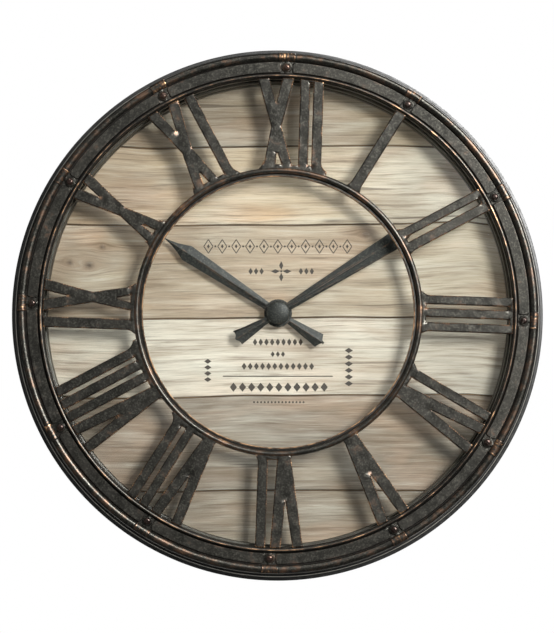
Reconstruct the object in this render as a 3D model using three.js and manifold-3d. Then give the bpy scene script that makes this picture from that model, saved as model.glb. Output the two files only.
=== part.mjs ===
// Wall clock: a round cast frame with openwork Roman numerals over a flat lens, a plank dial,
// two leaf-shaped hands and a battery quartz movement behind the dial.
//
// Units are millimetres.  The front of the clock faces -Y, the wall is the plane y = 0, +Z is up
// and +X is to the right of someone who looks at the dial.  Everything is built about the dial
// axis and the whole clock is then lowered so that the nail seat of the hanger is the origin.
import * as THREE from "three";
import { mergeVertices } from "three/addons/utils/BufferGeometryUtils.js";
import Module from "manifold-3d";

const wasm = await Module();
wasm.setup();

// ---------------------------------------------------------------- driving dimensions
const GAP = 0.3; // clearance between pieces that are seated on or in each other
const FRAME_TURN = 2.0; // degrees: the bezel and numerals sit slightly clockwise of the dial
const HOURS = 12;
const NAIL_SEAT_Z = 91; // height of the nail seat above the dial axis

const FLANGE_R = 110; // rear case
const CASE_R = 107.5;
const CASE_INNER_R = 99;
const DIAL_SEAT_R = 101.3;
const DIAL_SEAT_Y = -17.9;
const CASE_FRONT_Y = -24.0;
const CASE_FRONT_R = 106.9;

const BEZEL_BACK_Y = -24.3; // bezel
const BEZEL_R = 105.4;
const RIM_R = 104.15;
const RIM_Y = -36.9;
const RIM_TUBE = 1.55;
const BAND_OUTER_R = 102.3;
const BAND_INNER_R = 97.6;
const BAND_Y = -37.2;
const BAND_MIDDLE_R = 100;
const PANEL_RAISE = 0.55;
const PANEL_HALF_GAP = 1.3; // degrees between a panel's end and the hour line
const BEAD_R = 96.5;
const BEAD_Y = -38.1;
const BEAD_TUBE = 0.72;
const OPENING_R = 95.3;
const LENS_SEAT_Y = -33.5;
const LENS_SEAT_R = 98.3;
const STRAP_WIDTH = 6.8;
const STRAP_TUBE = 1.9;
const RIM_SCREW_R = 99.9;

const GRILLE_FRONT_Y = -38.3; // numerals and inner ring
const GRILLE_BACK_Y = -35.0;
const RING_OUTER_R = 58.6;
const RING_INNER_R = 55.1;

const LENS_R = 98.0; // lens, spacer ring and dial board
const LENS_FRONT_Y = -33.2;
const LENS_BACK_Y = -31.3;
const SPACER_INNER_R = 94.8;
const DIAL_R = 101.0;
const DIAL_FRONT_Y = -21.0;
const DIAL_BACK_Y = -18.2;
const PLANK_JOINTS_Z = [69.3, 37.0, -1.7, -34.0, -73.0];

const HOUR_HAND_ANGLE = 303.5; // hands, degrees clockwise from twelve
const MINUTE_HAND_ANGLE = 58;

const MOVEMENT_HALF = 28; // quartz movement
const MOVEMENT_FRONT_Y = -17.0;
const MOVEMENT_BACK_Y = -1.2;
const MOVEMENT_WALL = 1.1;
const BAY_TOP_Z = -11.8;
const CELL_R = 7.05;
const CELL_AXIS = { y: -8.6, z: -19.3 };

// ---------------------------------------------------------------- colours
const black = { color: 0x2b2d2b, roughness: 0.55, metalness: 0.45 };
const handBlack = { color: 0x262524, roughness: 0.42, metalness: 0.3 };
const copperWorn = { color: 0x5a4636, roughness: 0.5, metalness: 0.6 };
const blackPlastic = { color: 0x17181a, roughness: 0.6, metalness: 0 };
const wood = { color: 0xb5a894, roughness: 0.75, metalness: 0 };
const clear = { color: 0xf2f6f6, roughness: 0.05, metalness: 0, transparent: true, opacity: 0.25 };
const steel = { color: 0xb4b6b8, roughness: 0.35, metalness: 0.9 };
const brass = { color: 0xc39a4c, roughness: 0.35, metalness: 0.9 };
const copper = { color: 0xb4622f, roughness: 0.4, metalness: 0.85 };
const rubber = { color: 0x1b1b1b, roughness: 0.9, metalness: 0 };
const nylon = { color: 0xe9e6dc, roughness: 0.5, metalness: 0 };
const greenBoard = { color: 0x2f5a3c, roughness: 0.6, metalness: 0 };
const cellBlue = { color: 0x33506f, roughness: 0.35, metalness: 0.4 };

// ---------------------------------------------------------------- geometry helpers
const rad = THREE.MathUtils.degToRad;

function solid(geometry) {
  const bare = geometry.clone();
  bare.deleteAttribute("normal");
  bare.deleteAttribute("uv");
  const merged = mergeVertices(bare, 1e-4);
  return new wasm.Manifold(
    new wasm.Mesh({
      numProp: 3,
      vertProperties: merged.attributes.position.array,
      triVerts: new Uint32Array(merged.index.array),
    }),
  );
}

function surface(body) {
  const mesh = body.getMesh();
  const geometry = new THREE.BufferGeometry();
  const position = new Float32Array(mesh.numVert * 3);
  for (let i = 0; i < mesh.numVert; i++) {
    position.set(mesh.vertProperties.subarray(i * mesh.numProp, i * mesh.numProp + 3), i * 3);
  }
  geometry.setAttribute("position", new THREE.BufferAttribute(position, 3));
  geometry.setIndex(new THREE.BufferAttribute(mesh.triVerts, 1));
  geometry.computeVertexNormals();
  return geometry;
}

const unite = (bodies) => bodies.reduce((sum, body) => sum.add(body));
const cut = (body, tools) => tools.reduce((rest, tool) => rest.subtract(tool), body);

function signedArea(points) {
  return points.reduce((sum, p, i) => {
    const q = points[(i + 1) % points.length];
    return sum + (p[0] * q[1] - q[0] * p[1]) / 2;
  }, 0);
}

// A profile of [radius, y] pairs turned about the dial axis.  A profile that starts and ends on
// the axis stays open there; any other is closed on itself.
function turned(profile, segments = 60) {
  const ordered = signedArea(profile) > 0 ? profile : [...profile].reverse();
  const points = ordered.map(([r, y]) => new THREE.Vector2(r, y));
  const onAxis = ordered[0][0] === 0 && ordered[ordered.length - 1][0] === 0;
  if (!onAxis) {
    points.push(points[0].clone());
  }
  return solid(new THREE.LatheGeometry(points, segments));
}

// The same about an axis parallel to the dial axis through (x, z).
const turnedAt = (x, z, profile, segments) => turned(profile, segments).translate([x, 0, z]);

// A solid cylinder along the dial axis, between two y values.
function rod(x, z, radius, yFront, yBack, segments = 12) {
  return turnedAt(x, z, [[0, yFront], [radius, yFront], [radius, yBack], [0, yBack]], segments);
}

// A washer-shaped solid along the dial axis.
function tube(x, z, outer, inner, yFront, yBack, segments = 24) {
  const profile = [[inner, yFront], [outer, yFront], [outer, yBack], [inner, yBack]];
  return turnedAt(x, z, profile, segments);
}

// A flat plate whose outline is drawn in the dial plane, between two y values.
function plate(shape, yFront, yBack, curveSegments = 6) {
  const geometry = new THREE.ExtrudeGeometry(shape, {
    depth: yBack - yFront,
    bevelEnabled: false,
    curveSegments,
  });
  geometry.rotateX(Math.PI / 2);
  geometry.translate(0, yBack, 0);
  return solid(geometry);
}

// A block given by its low and high corners.
function block(low, high) {
  const size = high.map((value, i) => value - low[i]);
  const centre = high.map((value, i) => (value + low[i]) / 2);
  const geometry = new THREE.BoxGeometry(...size);
  geometry.translate(...centre);
  return solid(geometry);
}

// An outline of [radius, height in front of the wall] pairs swept straight across the hour line.
function acrossTheHour(outline, width) {
  const geometry = new THREE.ExtrudeGeometry(polygon(outline), { depth: width, bevelEnabled: false });
  geometry.translate(0, 0, -width / 2);
  const basis = new THREE.Matrix4().makeBasis(
    new THREE.Vector3(0, 0, 1),
    new THREE.Vector3(0, -1, 0),
    new THREE.Vector3(1, 0, 0),
  );
  geometry.applyMatrix4(basis);
  return solid(geometry);
}

function polygon(points) {
  const ordered = signedArea(points) > 0 ? points : [...points].reverse();
  return new THREE.Shape(ordered.map(([x, y]) => new THREE.Vector2(x, y)));
}

// Points on an arc in the (radius, y) plane; 0 degrees is outward and 90 degrees is forward.
function arc(r, y, radius, from, to, steps) {
  return Array.from({ length: steps + 1 }, (_, i) => {
    const a = rad(from + ((to - from) * i) / steps);
    return [r + radius * Math.cos(a), y - radius * Math.sin(a)];
  });
}

function rounded(width, height, radius, x = 0, z = 0) {
  const shape = new THREE.Shape();
  const w = width / 2;
  const h = height / 2;
  shape.moveTo(x - w + radius, z - h);
  shape.lineTo(x + w - radius, z - h);
  shape.absarc(x + w - radius, z - h + radius, radius, -Math.PI / 2, 0);
  shape.lineTo(x + w, z + h - radius);
  shape.absarc(x + w - radius, z + h - radius, radius, 0, Math.PI / 2);
  shape.lineTo(x - w + radius, z + h);
  shape.absarc(x - w + radius, z + h - radius, radius, Math.PI / 2, Math.PI);
  shape.lineTo(x - w, z - h + radius);
  shape.absarc(x - w + radius, z - h + radius, radius, Math.PI, Math.PI * 1.5);
  return shape;
}

// Turns a body clockwise about the dial axis, as seen from the front.
const clockwise = (body, degrees) => body.rotate([0, degrees, 0]);
const atHour = (body, hour) => clockwise(body, (hour * 360) / HOURS);

// ---------------------------------------------------------------- nodes
const nodes = [];

function node(name, body, look) {
  const mesh = new THREE.Mesh(surface(body), new THREE.MeshStandardMaterial(look));
  mesh.name = name;
  nodes.push(mesh);
}

const hourList = Array.from({ length: HOURS }, (_, i) => i + 1);
const twoDigits = (n) => String(n).padStart(2, "0");

// ---------------------------------------------------------------- rear case
const CASE_SCREW_R = 103.3;
const CASE_SCREW_ANGLES = [45, 135, 225, 315];
const HANGER_HALF_WIDTH = 19;
const HANGER_TOP_Z = 102.6;
const HANGER_SCREW = { x: 14.5, z: 100.4 };

const caseScrewHoles = CASE_SCREW_ANGLES.map((angle) =>
  clockwise(
    unite([
      rod(0, CASE_SCREW_R, 1.45, -32.6, 1, 10),
      rod(0, CASE_SCREW_R, 2.25, -2.6, 1, 10),
    ]),
    angle,
  ),
);

const caseProfile = [
  [CASE_INNER_R, 0],
  [CASE_INNER_R, DIAL_SEAT_Y],
  [DIAL_SEAT_R, DIAL_SEAT_Y],
  [DIAL_SEAT_R, CASE_FRONT_Y],
  [CASE_FRONT_R, CASE_FRONT_Y],
  [CASE_FRONT_R, -20.3],
  [107.6, -20.2],
  [107.9, -20.8],
  [108.4, -20.7],
  [108.6, -20.0],
  [109.6, -19.6],
  [FLANGE_R, -18.8],
  [FLANGE_R, -16.0],
  [108.8, -14.8],
  [CASE_R, -14.4],
  [CASE_R, -1.5],
  [106, 0],
];
const hangerPocket = block(
  [-HANGER_HALF_WIDTH - GAP, -1.7, 80],
  [HANGER_HALF_WIDTH + GAP, 1, HANGER_TOP_Z + GAP],
);
const hangerScrewHoles = [-1, 1].map((side) =>
  rod(side * HANGER_SCREW.x, HANGER_SCREW.z, 1.4, -9.6, 1, 8),
);
node(
  "rear_case",
  cut(turned(caseProfile), [...caseScrewHoles, hangerPocket, ...hangerScrewHoles]),
  blackPlastic,
);

CASE_SCREW_ANGLES.forEach((angle, i) => {
  const profile = [[0, -31], [0.85, -31], [1.15, -30], [1.15, -2.3], [1.9, -2.3], [1.9, -0.9], [0, -0.9]];
  const slot = block([-2.5, -1.4, CASE_SCREW_R - 0.25], [2.5, 0, CASE_SCREW_R + 0.25]);
  const screw = turnedAt(0, CASE_SCREW_R, profile, 10).subtract(slot);
  node("case_screw_" + (i + 1), clockwise(screw, angle), steel);
});

// ---------------------------------------------------------------- hanger plate on the rear case
const hangerOutline = polygon([
  [-10, 78],
  [10, 78],
  [10, 95.5],
  [HANGER_HALF_WIDTH, 97.2],
  [HANGER_HALF_WIDTH, HANGER_TOP_Z - 1.2],
  [HANGER_HALF_WIDTH - 1.2, HANGER_TOP_Z],
  [-HANGER_HALF_WIDTH + 1.2, HANGER_TOP_Z],
  [-HANGER_HALF_WIDTH, HANGER_TOP_Z - 1.2],
  [-HANGER_HALF_WIDTH, 97.2],
  [-10, 95.5],
]);
const keyhole = new THREE.Path();
const SLOT_HALF = 1.9;
const ENTRY_R = 4.6;
const ENTRY_Z = NAIL_SEAT_Z - 8;
const entryAngle = Math.acos(SLOT_HALF / ENTRY_R);
keyhole.moveTo(SLOT_HALF, NAIL_SEAT_Z);
keyhole.absarc(0, NAIL_SEAT_Z, SLOT_HALF, 0, Math.PI);
keyhole.absarc(0, ENTRY_Z, ENTRY_R, Math.PI - entryAngle, entryAngle + 2 * Math.PI);
hangerOutline.holes.push(keyhole);
const hangerHoles = [-1, 1].map((side) => rod(side * HANGER_SCREW.x, HANGER_SCREW.z, 1.5, -2, 1, 10));
const hangerSinks = [-1, 1].map((side) =>
  turnedAt(side * HANGER_SCREW.x, HANGER_SCREW.z, [[0, -1.2], [1.5, -1.2], [2.7, 0], [0, 0]], 10),
);
node("hanger_plate", cut(plate(hangerOutline, -1.4, -0.2, 5), [...hangerHoles, ...hangerSinks]), steel);

["hanger_screw_left", "hanger_screw_right"].forEach((name, i) => {
  const side = i === 0 ? 1 : -1;
  const profile = [[0, -9], [0.7, -9], [1.1, -8.2], [1.1, -1.2], [2.0, -0.3], [0, -0.3]];
  const screw = turnedAt(side * HANGER_SCREW.x, HANGER_SCREW.z, profile, 10);
  const x = side * HANGER_SCREW.x;
  const slot = block([x - 2.5, -0.7, HANGER_SCREW.z - 0.2], [x + 2.5, 0, HANGER_SCREW.z + 0.2]);
  node(name, screw.subtract(slot), steel);
});

// ---------------------------------------------------------------- bezel
const bezelProfile = [
  [LENS_SEAT_R, BEZEL_BACK_Y],
  [BEZEL_R, BEZEL_BACK_Y],
  [BEZEL_R, -34.0],
  ...arc(RIM_R, RIM_Y, RIM_TUBE, -40, 168, 6),
  [BAND_OUTER_R + 0.3, BAND_Y],
  [BAND_OUTER_R, BAND_Y],
  [BAND_OUTER_R - 0.1, BAND_Y - PANEL_RAISE],
  [BAND_INNER_R + 0.1, BAND_Y - PANEL_RAISE],
  [BAND_INNER_R, BAND_Y],
  ...arc(BEAD_R, BEAD_Y, BEAD_TUBE, -20, 200, 4),
  [OPENING_R, -37.4],
  [OPENING_R, LENS_SEAT_Y],
  [LENS_SEAT_R, LENS_SEAT_Y],
];

// The gap between two raised panels of the band, with the panels' corners rounded into it.
function panelGap() {
  const half = BAND_MIDDLE_R * rad(PANEL_HALF_GAP);
  const flare = half + 1.5;
  const low = BAND_INNER_R - 0.05;
  const high = BAND_OUTER_R + 0.05;
  const side = [
    [half + 0.5, low],
    [half, low + 0.6],
    [half, high - 1.7],
    [half + 0.5, high - 0.7],
    [flare, high],
  ];
  const mirrored = side.map(([x, r]) => [-x, r]).reverse();
  return plate(polygon([...side, ...mirrored]), BAND_Y - 2, BAND_Y);
}

// A strap bent over the rim at an hour line.
function rimStrap() {
  const over = arc(RIM_R, RIM_Y, STRAP_TUBE, -44, 180, 5);
  const under = arc(RIM_R, RIM_Y, RIM_TUBE - 0.8, 180, -44, 2);
  return acrossTheHour([...over, ...under].map(([r, y]) => [r, -y]), STRAP_WIDTH);
}

function screwBoss() {
  const rib = block([-0.75, BAND_Y - 0.45, BAND_INNER_R - 0.2], [0.75, BAND_Y + 0.4, BAND_OUTER_R + 0.4]);
  return rod(0, RIM_SCREW_R, 2.05, BAND_Y - 0.75, BAND_Y + 0.4, 10).add(rib);
}

const bezelAdditions = hourList.flatMap((hour) => [atHour(rimStrap(), hour), atHour(screwBoss(), hour)]);
const panelGaps = hourList.map((hour) => atHour(panelGap(), hour));
const rimScrewHoles = hourList.map((hour) => atHour(rod(0, RIM_SCREW_R, 1.15, -40, -33.0, 6), hour));
const bezelRing = unite([cut(turned(bezelProfile), panelGaps), ...bezelAdditions]);
node("bezel", cut(clockwise(cut(bezelRing, rimScrewHoles), FRAME_TURN), caseScrewHoles), black);

function rimScrew() {
  const seat = BAND_Y - 0.75 - 0.1;
  const profile = [
    [0, seat - 0.95],
    [0.9, seat - 0.8],
    [1.45, seat - 0.1],
    [0.8, seat],
    [0.8, -33.6],
    [0, -33.6],
  ];
  const slot = block([-0.22, seat - 1.2, RIM_SCREW_R - 2], [0.22, seat - 0.45, RIM_SCREW_R + 2]);
  return turnedAt(0, RIM_SCREW_R, profile, 10).subtract(slot);
}

hourList.forEach((hour) => {
  const screw = clockwise(atHour(rimScrew(), hour), FRAME_TURN);
  node("rim_screw_" + twoDigits(hour), screw, copperWorn);
});

// ---------------------------------------------------------------- openwork numerals
// Each numeral is drawn upright on its hour line: x runs clockwise and y is the distance from
// the dial axis.  Strokes run past both ends and are trimmed to the space between the inner
// ring and the bezel.
const FOOT_R = RING_OUTER_R - 3;
const TOP_R = OPENING_R + 2;
const WAIST_R = 75.5;

// A straight stroke from its x at the foot to its x at the top.
function bar(foot, top, width) {
  return [polygon([
    [foot - width / 2, FOOT_R],
    [foot + width / 2, FOOT_R],
    [top + width / 2, TOP_R],
    [top - width / 2, TOP_R],
  ])];
}

// A V: centre and width at the foot, centre and width at the top, arm width and notch.
function vee(foot, footWidth, top, topWidth, arm, notchR) {
  const t = (notchR - FOOT_R) / (TOP_R - FOOT_R);
  return [polygon([
    [foot - footWidth / 2, FOOT_R],
    [foot + footWidth / 2, FOOT_R],
    [top + topWidth / 2, TOP_R],
    [top + topWidth / 2 - arm, TOP_R],
    [foot + (top - foot) * t, notchR],
    [top - topWidth / 2 + arm, TOP_R],
    [top - topWidth / 2, TOP_R],
  ])];
}

// An X: centre and width at foot, waist and top, the notch above and the eye below the waist.
function ex(foot, footWidth, waist, waistWidth, top, topWidth, notchR, eyeR, eyeWidth) {
  const arm = 4.7;
  const notch = waist + ((top - waist) * (notchR - WAIST_R)) / (TOP_R - WAIST_R);
  const outline = polygon([
    [foot - footWidth / 2, FOOT_R],
    [foot + footWidth / 2, FOOT_R],
    [waist + waistWidth / 2, WAIST_R],
    [top + topWidth / 2, TOP_R],
    [top + topWidth / 2 - arm, TOP_R],
    [notch, notchR],
    [top - topWidth / 2 + arm, TOP_R],
    [top - topWidth / 2, TOP_R],
    [waist - waistWidth / 2, WAIST_R],
  ]);
  const eye = new THREE.Path([
    new THREE.Vector2(foot - eyeWidth / 2, RING_OUTER_R + 1.6),
    new THREE.Vector2(foot + eyeWidth / 2, RING_OUTER_R + 1.6),
    new THREE.Vector2((foot + waist) / 2 + 0.15, eyeR),
    new THREE.Vector2((foot + waist) / 2 - 0.15, eyeR),
  ]);
  outline.holes.push(eye);
  return [outline];
}

// A foot that flares onto the inner ring and closes the slots between strokes.
function footing(left, right) {
  const flare = 2.3;
  const rise = 61.4;
  const shape = new THREE.Shape();
  shape.moveTo(left - flare, FOOT_R);
  shape.lineTo(right + flare, FOOT_R);
  shape.lineTo(right + flare, FOOT_R + 2);
  shape.quadraticCurveTo(right + 0.1, RING_OUTER_R + 0.6, right - 0.05, rise);
  shape.lineTo(right - 0.6, RING_OUTER_R + 1.5);
  shape.lineTo(left + 0.6, RING_OUTER_R + 1.5);
  shape.lineTo(left + 0.05, rise);
  shape.quadraticCurveTo(left - 0.1, RING_OUTER_R + 0.6, left - flare, FOOT_R + 2);
  return shape;
}

// A short web that joins the tops of neighbouring strokes.
const heading = (left, right) => polygon([[left, 93.9], [right, 93.9], [right, TOP_R], [left, TOP_R]]);

const numerals = {
  1: [...bar(-0.65, -0.65, 4.6), footing(-2.95, 1.65)],
  2: [...bar(-4.25, -4.25, 3.6), ...bar(1.8, 1.8, 4.1), footing(-6.05, 3.85), heading(-6, 3.8)],
  3: [
    ...bar(-7.2, -7.2, 3.6),
    ...bar(-1.95, -1.95, 3.7),
    ...bar(3.9, 3.8, 3.6),
    footing(-9.0, 5.7),
    heading(-8.9, 5.5),
  ],
  4: [...bar(-8.0, -9.0, 4.0), ...vee(0.7, 5.2, 1.4, 14.6, 4.3, 73.5), footing(-10.0, 3.3)],
  5: [...vee(-1.85, 5.2, -2.1, 15.0, 4.3, 75.5), footing(-4.45, 0.75)],
  6: [...vee(-4.2, 4.8, -6.7, 13.9, 4.2, 76.3), ...bar(4.15, 4.1, 4.1), footing(-6.6, 6.2)],
  7: [
    ...vee(-3.7, 4.5, -5.9, 14.4, 4.2, 75.6),
    ...bar(4.85, 4.85, 3.9),
    ...bar(10.6, 10.75, 4.1),
    footing(-5.95, 12.65),
  ],
  8: [
    ...vee(-5.3, 5.0, -8.3, 13.6, 4.1, 76.6),
    ...bar(2.05, 2.0, 4.0),
    ...bar(7.6, 7.6, 4.0),
    ...bar(13.15, 13.15, 4.0),
    footing(-7.8, 15.15),
  ],
  9: [...bar(-7.3, -7.3, 4.3), ...ex(3.2, 11.3, 3.3, 4.2, 3.7, 14.2, 85.6, 65.6, 3.0), footing(-9.45, 8.3)],
  10: [...ex(0.75, 11.4, 1.0, 4.1, 1.0, 13.2, 86.2, 65.4, 1.9), footing(-4.5, 6.0)],
  11: [
    ...ex(-1.3, 12.3, -2.0, 4.5, -2.8, 15.6, 84.2, 65.0, 2.2),
    ...bar(8.95, 9.0, 4.2),
    footing(-7.1, 11.05),
  ],
  12: [
    ...ex(-2.0, 13.6, -3.5, 4.2, -4.4, 16.2, 85.2, 64.8, 2.5),
    ...bar(7.9, 7.7, 4.0),
    ...bar(13.3, 13.2, 4.1),
    footing(-8.4, 15.35),
    heading(5.7, 15.2),
  ],
};

const grilleSpace = tube(0, 0, OPENING_R - GAP, RING_OUTER_R + GAP, GRILLE_FRONT_Y, GRILLE_BACK_Y, 96);
hourList.forEach((hour) => {
  const strokes = numerals[hour].map((shape) => plate(shape, GRILLE_FRONT_Y - 1, GRILLE_BACK_Y + 1, 4));
  const upright = clockwise(atHour(unite(strokes), hour), FRAME_TURN);
  node("numeral_" + twoDigits(hour), upright.intersect(grilleSpace), black);
});

const ringProfile = [
  [RING_INNER_R, GRILLE_BACK_Y],
  [RING_OUTER_R, GRILLE_BACK_Y],
  [RING_OUTER_R, -37.6],
  ...arc(57.55, -37.75, 1.05, 15, 165, 3),
  [56.4, -37.1],
  [RING_INNER_R, -37.1],
];
node("inner_ring", turned(ringProfile), black);

// ---------------------------------------------------------------- lens, spacer ring, dial board
const lensProfile = [
  [0, LENS_FRONT_Y],
  [LENS_R, LENS_FRONT_Y],
  [LENS_R, LENS_BACK_Y],
  [0, LENS_BACK_Y],
];
node("lens", turned(lensProfile), clear);
node(
  "spacer_ring",
  tube(0, 0, LENS_R, SPACER_INNER_R, LENS_BACK_Y + GAP, DIAL_FRONT_Y - GAP, 60),
  blackPlastic,
);

const plankJoints = PLANK_JOINTS_Z.map((z) =>
  block([-DIAL_R - 1, DIAL_FRONT_Y - 1, z - 0.3], [DIAL_R + 1, DIAL_FRONT_Y + 0.5, z + 0.3]),
);
const dialDisc = tube(0, 0, DIAL_R, 4.3, DIAL_FRONT_Y, DIAL_BACK_Y, 60);
node("dial_board", cut(dialDisc, plankJoints), wood);

// ---------------------------------------------------------------- hands
// A hand seen from the front: two facets meet in a ridge along the centre line.  Stations are
// [distance from the axis, half width]; negative distances are the tail.
function facetedHand(stations, ridgeY, edgeY, backY) {
  const rows = stations.length;
  const position = [];
  stations.forEach(([distance, half]) => {
    const lift = Math.min(1, half / 1.6);
    const top = edgeY + (ridgeY - edgeY) * lift;
    position.push(-half, edgeY, distance);
    position.push(0, top, distance);
    position.push(half, edgeY, distance);
    position.push(half, backY, distance);
    position.push(-half, backY, distance);
  });
  const index = [];
  const quad = (a, b, c, d) => index.push(a, b, c, a, c, d);
  for (let i = 0; i + 1 < rows; i++) {
    for (let k = 0; k < 5; k++) {
      const next = (k + 1) % 5;
      quad(i * 5 + k, i * 5 + next, (i + 1) * 5 + next, (i + 1) * 5 + k);
    }
  }
  const last = (rows - 1) * 5;
  for (let k = 1; k + 1 < 5; k++) {
    index.push(0, k + 1, k);
    index.push(last, last + k, last + k + 1);
  }
  const geometry = new THREE.BufferGeometry();
  geometry.setAttribute("position", new THREE.Float32BufferAttribute(position, 3));
  geometry.setIndex(index);
  return solid(geometry);
}

// The blade widens straight to its shoulder and then hollows in to a needle point.
function bladeStations(shoulder, tip, neck, halfWidth) {
  const stations = [[0, neck], [shoulder, halfWidth]];
  const steps = 7;
  for (let i = 1; i <= steps; i++) {
    const t = i / steps;
    stations.push([shoulder + (tip - shoulder) * t, Math.max(0.12, halfWidth * (1 - t) ** 1.9)]);
  }
  return stations;
}

const TAIL_NECK = 1.25;
const TAIL_HALF = 3.3;

// The tail flares to a blunt point; its two sides are slightly hollow, so each is cut by a rod.
function tailCutters(tailLength, tailPoint, ridgeY, backY) {
  const side = Math.hypot(TAIL_HALF, tailPoint);
  const reach = 1.3 * side;
  const x = TAIL_HALF / 2 + (tailPoint / side) * reach;
  const z = -tailLength + tailPoint / 2 - (TAIL_HALF / side) * reach;
  const radius = Math.hypot(side / 2, reach);
  return [-1, 1].map((hand) => rod(hand * x, z, radius, ridgeY - 1, backY + 1, 40));
}

function hand({
  shoulder, tip, neck, halfWidth, tailLength, tailPoint,
  ridgeY, edgeY, backY, hubR, hubFront, hubBack, bore,
}) {
  const blade = facetedHand(bladeStations(shoulder, tip, neck, halfWidth), ridgeY, edgeY, backY);
  const tailShape = [[-tailLength, TAIL_HALF], [-7, 1.55], [0, TAIL_NECK]];
  const cutters = tailCutters(tailLength, tailPoint, ridgeY, backY);
  const tail = cut(facetedHand(tailShape, ridgeY, edgeY, backY), cutters);
  const hub = rod(0, 0, hubR, hubFront, hubBack, 24);
  return unite([blade, tail, hub]).subtract(rod(0, 0, bore, hubFront - 3, hubBack + 3, 16));
}

const hourHand = hand({
  shoulder: 45,
  tip: 58.5,
  neck: 1.4,
  halfWidth: 3.45,
  tailLength: 22.3,
  tailPoint: 2.0,
  ridgeY: -26.7,
  edgeY: -26.0,
  backY: -25.6,
  hubR: 5.75,
  hubFront: -26.9,
  hubBack: -25.2,
  bore: 2.5,
});
const minuteHand = hand({
  shoulder: 58,
  tip: 74,
  neck: 1.4,
  halfWidth: 3.8,
  tailLength: 20.3,
  tailPoint: 0.9,
  ridgeY: -28.9,
  edgeY: -28.2,
  backY: -27.8,
  hubR: 4.7,
  hubFront: -29.0,
  hubBack: -27.7,
  bore: 1.3,
});
node("hour_hand", clockwise(hourHand, HOUR_HAND_ANGLE), handBlack);
node("minute_hand", clockwise(minuteHand, MINUTE_HAND_ANGLE), handBlack);

// A shallow dome with a blind bore for the end of the minute arbor.
const capProfile = [
  [0, -30.2],
  [1.3, -30.2],
  [1.3, -29.3],
  [4.75, -29.3],
  [4.8, -29.6],
  [4.3, -30.1],
  [3.2, -30.5],
  [1.7, -30.72],
  [0, -30.8],
];
node("hand_cap", turned(capProfile, 24), handBlack);

// ---------------------------------------------------------------- gears
// Stub teeth with plenty of backlash.  Angles are in the dial plane, anticlockwise from +X.
function gear(x, z, teeth, module, toothAt, yFront, yBack) {
  const pitchR = (teeth * module) / 2;
  const tipR = pitchR + 0.72 * module;
  const rootR = pitchR - 1.0 * module;
  const pitchAngle = (2 * Math.PI) / teeth;
  const outline = [];
  for (let i = 0; i < teeth; i++) {
    const a = toothAt + i * pitchAngle;
    const corners = teeth < 16
      ? [[rootR, -0.23], [tipR, -0.07], [tipR, 0.07], [rootR, 0.23]]
      : [[rootR, -0.5], [tipR, -0.03], [tipR, 0.03]];
    corners.forEach(([r, f]) => {
      outline.push([r * Math.cos(a + f * pitchAngle), r * Math.sin(a + f * pitchAngle)]);
    });
  }
  return plate(polygon(outline), yFront, yBack).translate([x, 0, z]);
}

// The tooth angle that puts a gear in mesh with one already placed.
function meshAngle(from, to, fromTeeth, fromToothAt, toTeeth) {
  const direction = Math.atan2(to.z - from.z, to.x - from.x);
  const phase = ((direction - fromToothAt) * fromTeeth) / (2 * Math.PI);
  return direction + Math.PI - ((0.5 - phase) * 2 * Math.PI) / toTeeth;
}

const away = (from, distance, degrees) => ({
  x: from.x + distance * Math.cos(rad(degrees)),
  z: from.z + distance * Math.sin(rad(degrees)),
});

// Motion work: minute arbor 8 -> reduction wheel 24, pinion 8 -> hour wheel 32, so 12 to 1.
const MOTION_MODULE = 0.75;
const HOUR_MODULE = 0.6;
const centre = { x: 0, z: 0 };
const reduction = away(centre, ((8 + 24) * MOTION_MODULE) / 2, 165);
const knob = away(reduction, ((24 + 8) * MOTION_MODULE) / 2, 130);

// Drive train: rotor 6 -> 36, 6 -> 30, 6 -> 45, 6 -> 48, so 1800 turns of the rotor to one.
const PINION = 6;
const CENTRE_STAGE = { teeth: 48, module: 0.42 };
const THIRD_STAGE = { teeth: 45, module: 0.4 };
const SECONDS_STAGE = { teeth: 30, module: 0.5 };
const INTERMEDIATE_STAGE = { teeth: 36, module: 0.4 };
const stageDistance = (stage) => ((stage.teeth + PINION) * stage.module) / 2;
const third = away(centre, stageDistance(CENTRE_STAGE), 60);
const seconds = away(third, stageDistance(THIRD_STAGE), -20);
const intermediate = away(seconds, stageDistance(SECONDS_STAGE), 80);
const rotor = away(intermediate, stageDistance(INTERMEDIATE_STAGE), 160);

const layer = {
  hour: [-15.6, -14.7],
  motion: [-14.3, -13.4],
  centre: [-13.0, -12.3],
  third: [-11.9, -11.2],
  seconds: [-10.8, -10.1],
  intermediate: [-9.7, -9.0],
};
const TRAIN_BACK_Y = -5.0;

const arborPinionTooth = 0;
const reductionTooth = meshAngle(centre, reduction, 8, arborPinionTooth, 24);
const knobTooth = meshAngle(reduction, knob, 24, reductionTooth, 8);
const hourTooth = 0;
const reductionPinionTooth = meshAngle(centre, reduction, 32, hourTooth, 8);

node(
  "minute_arbor",
  unite([
    rod(0, 0, 1.0, -30.0, TRAIN_BACK_Y, 16),
    gear(0, 0, 8, MOTION_MODULE, arborPinionTooth, ...layer.motion),
  ]),
  brass,
);
node(
  "hour_wheel",
  cut(
    unite([
      gear(0, 0, 32, HOUR_MODULE, hourTooth, ...layer.hour),
      rod(0, 0, 2.2, -27.3, -14.8, 16),
    ]),
    [rod(0, 0, 1.4, -29, -12, 16)],
  ),
  nylon,
);
node(
  "reduction_wheel",
  unite([
    gear(reduction.x, reduction.z, 24, MOTION_MODULE, reductionTooth, ...layer.motion),
    gear(reduction.x, reduction.z, 8, HOUR_MODULE, reductionPinionTooth, -15.7, -14.2),
    rod(reduction.x, reduction.z, 0.6, -15.8, -11.5, 10),
  ]),
  nylon,
);

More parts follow.
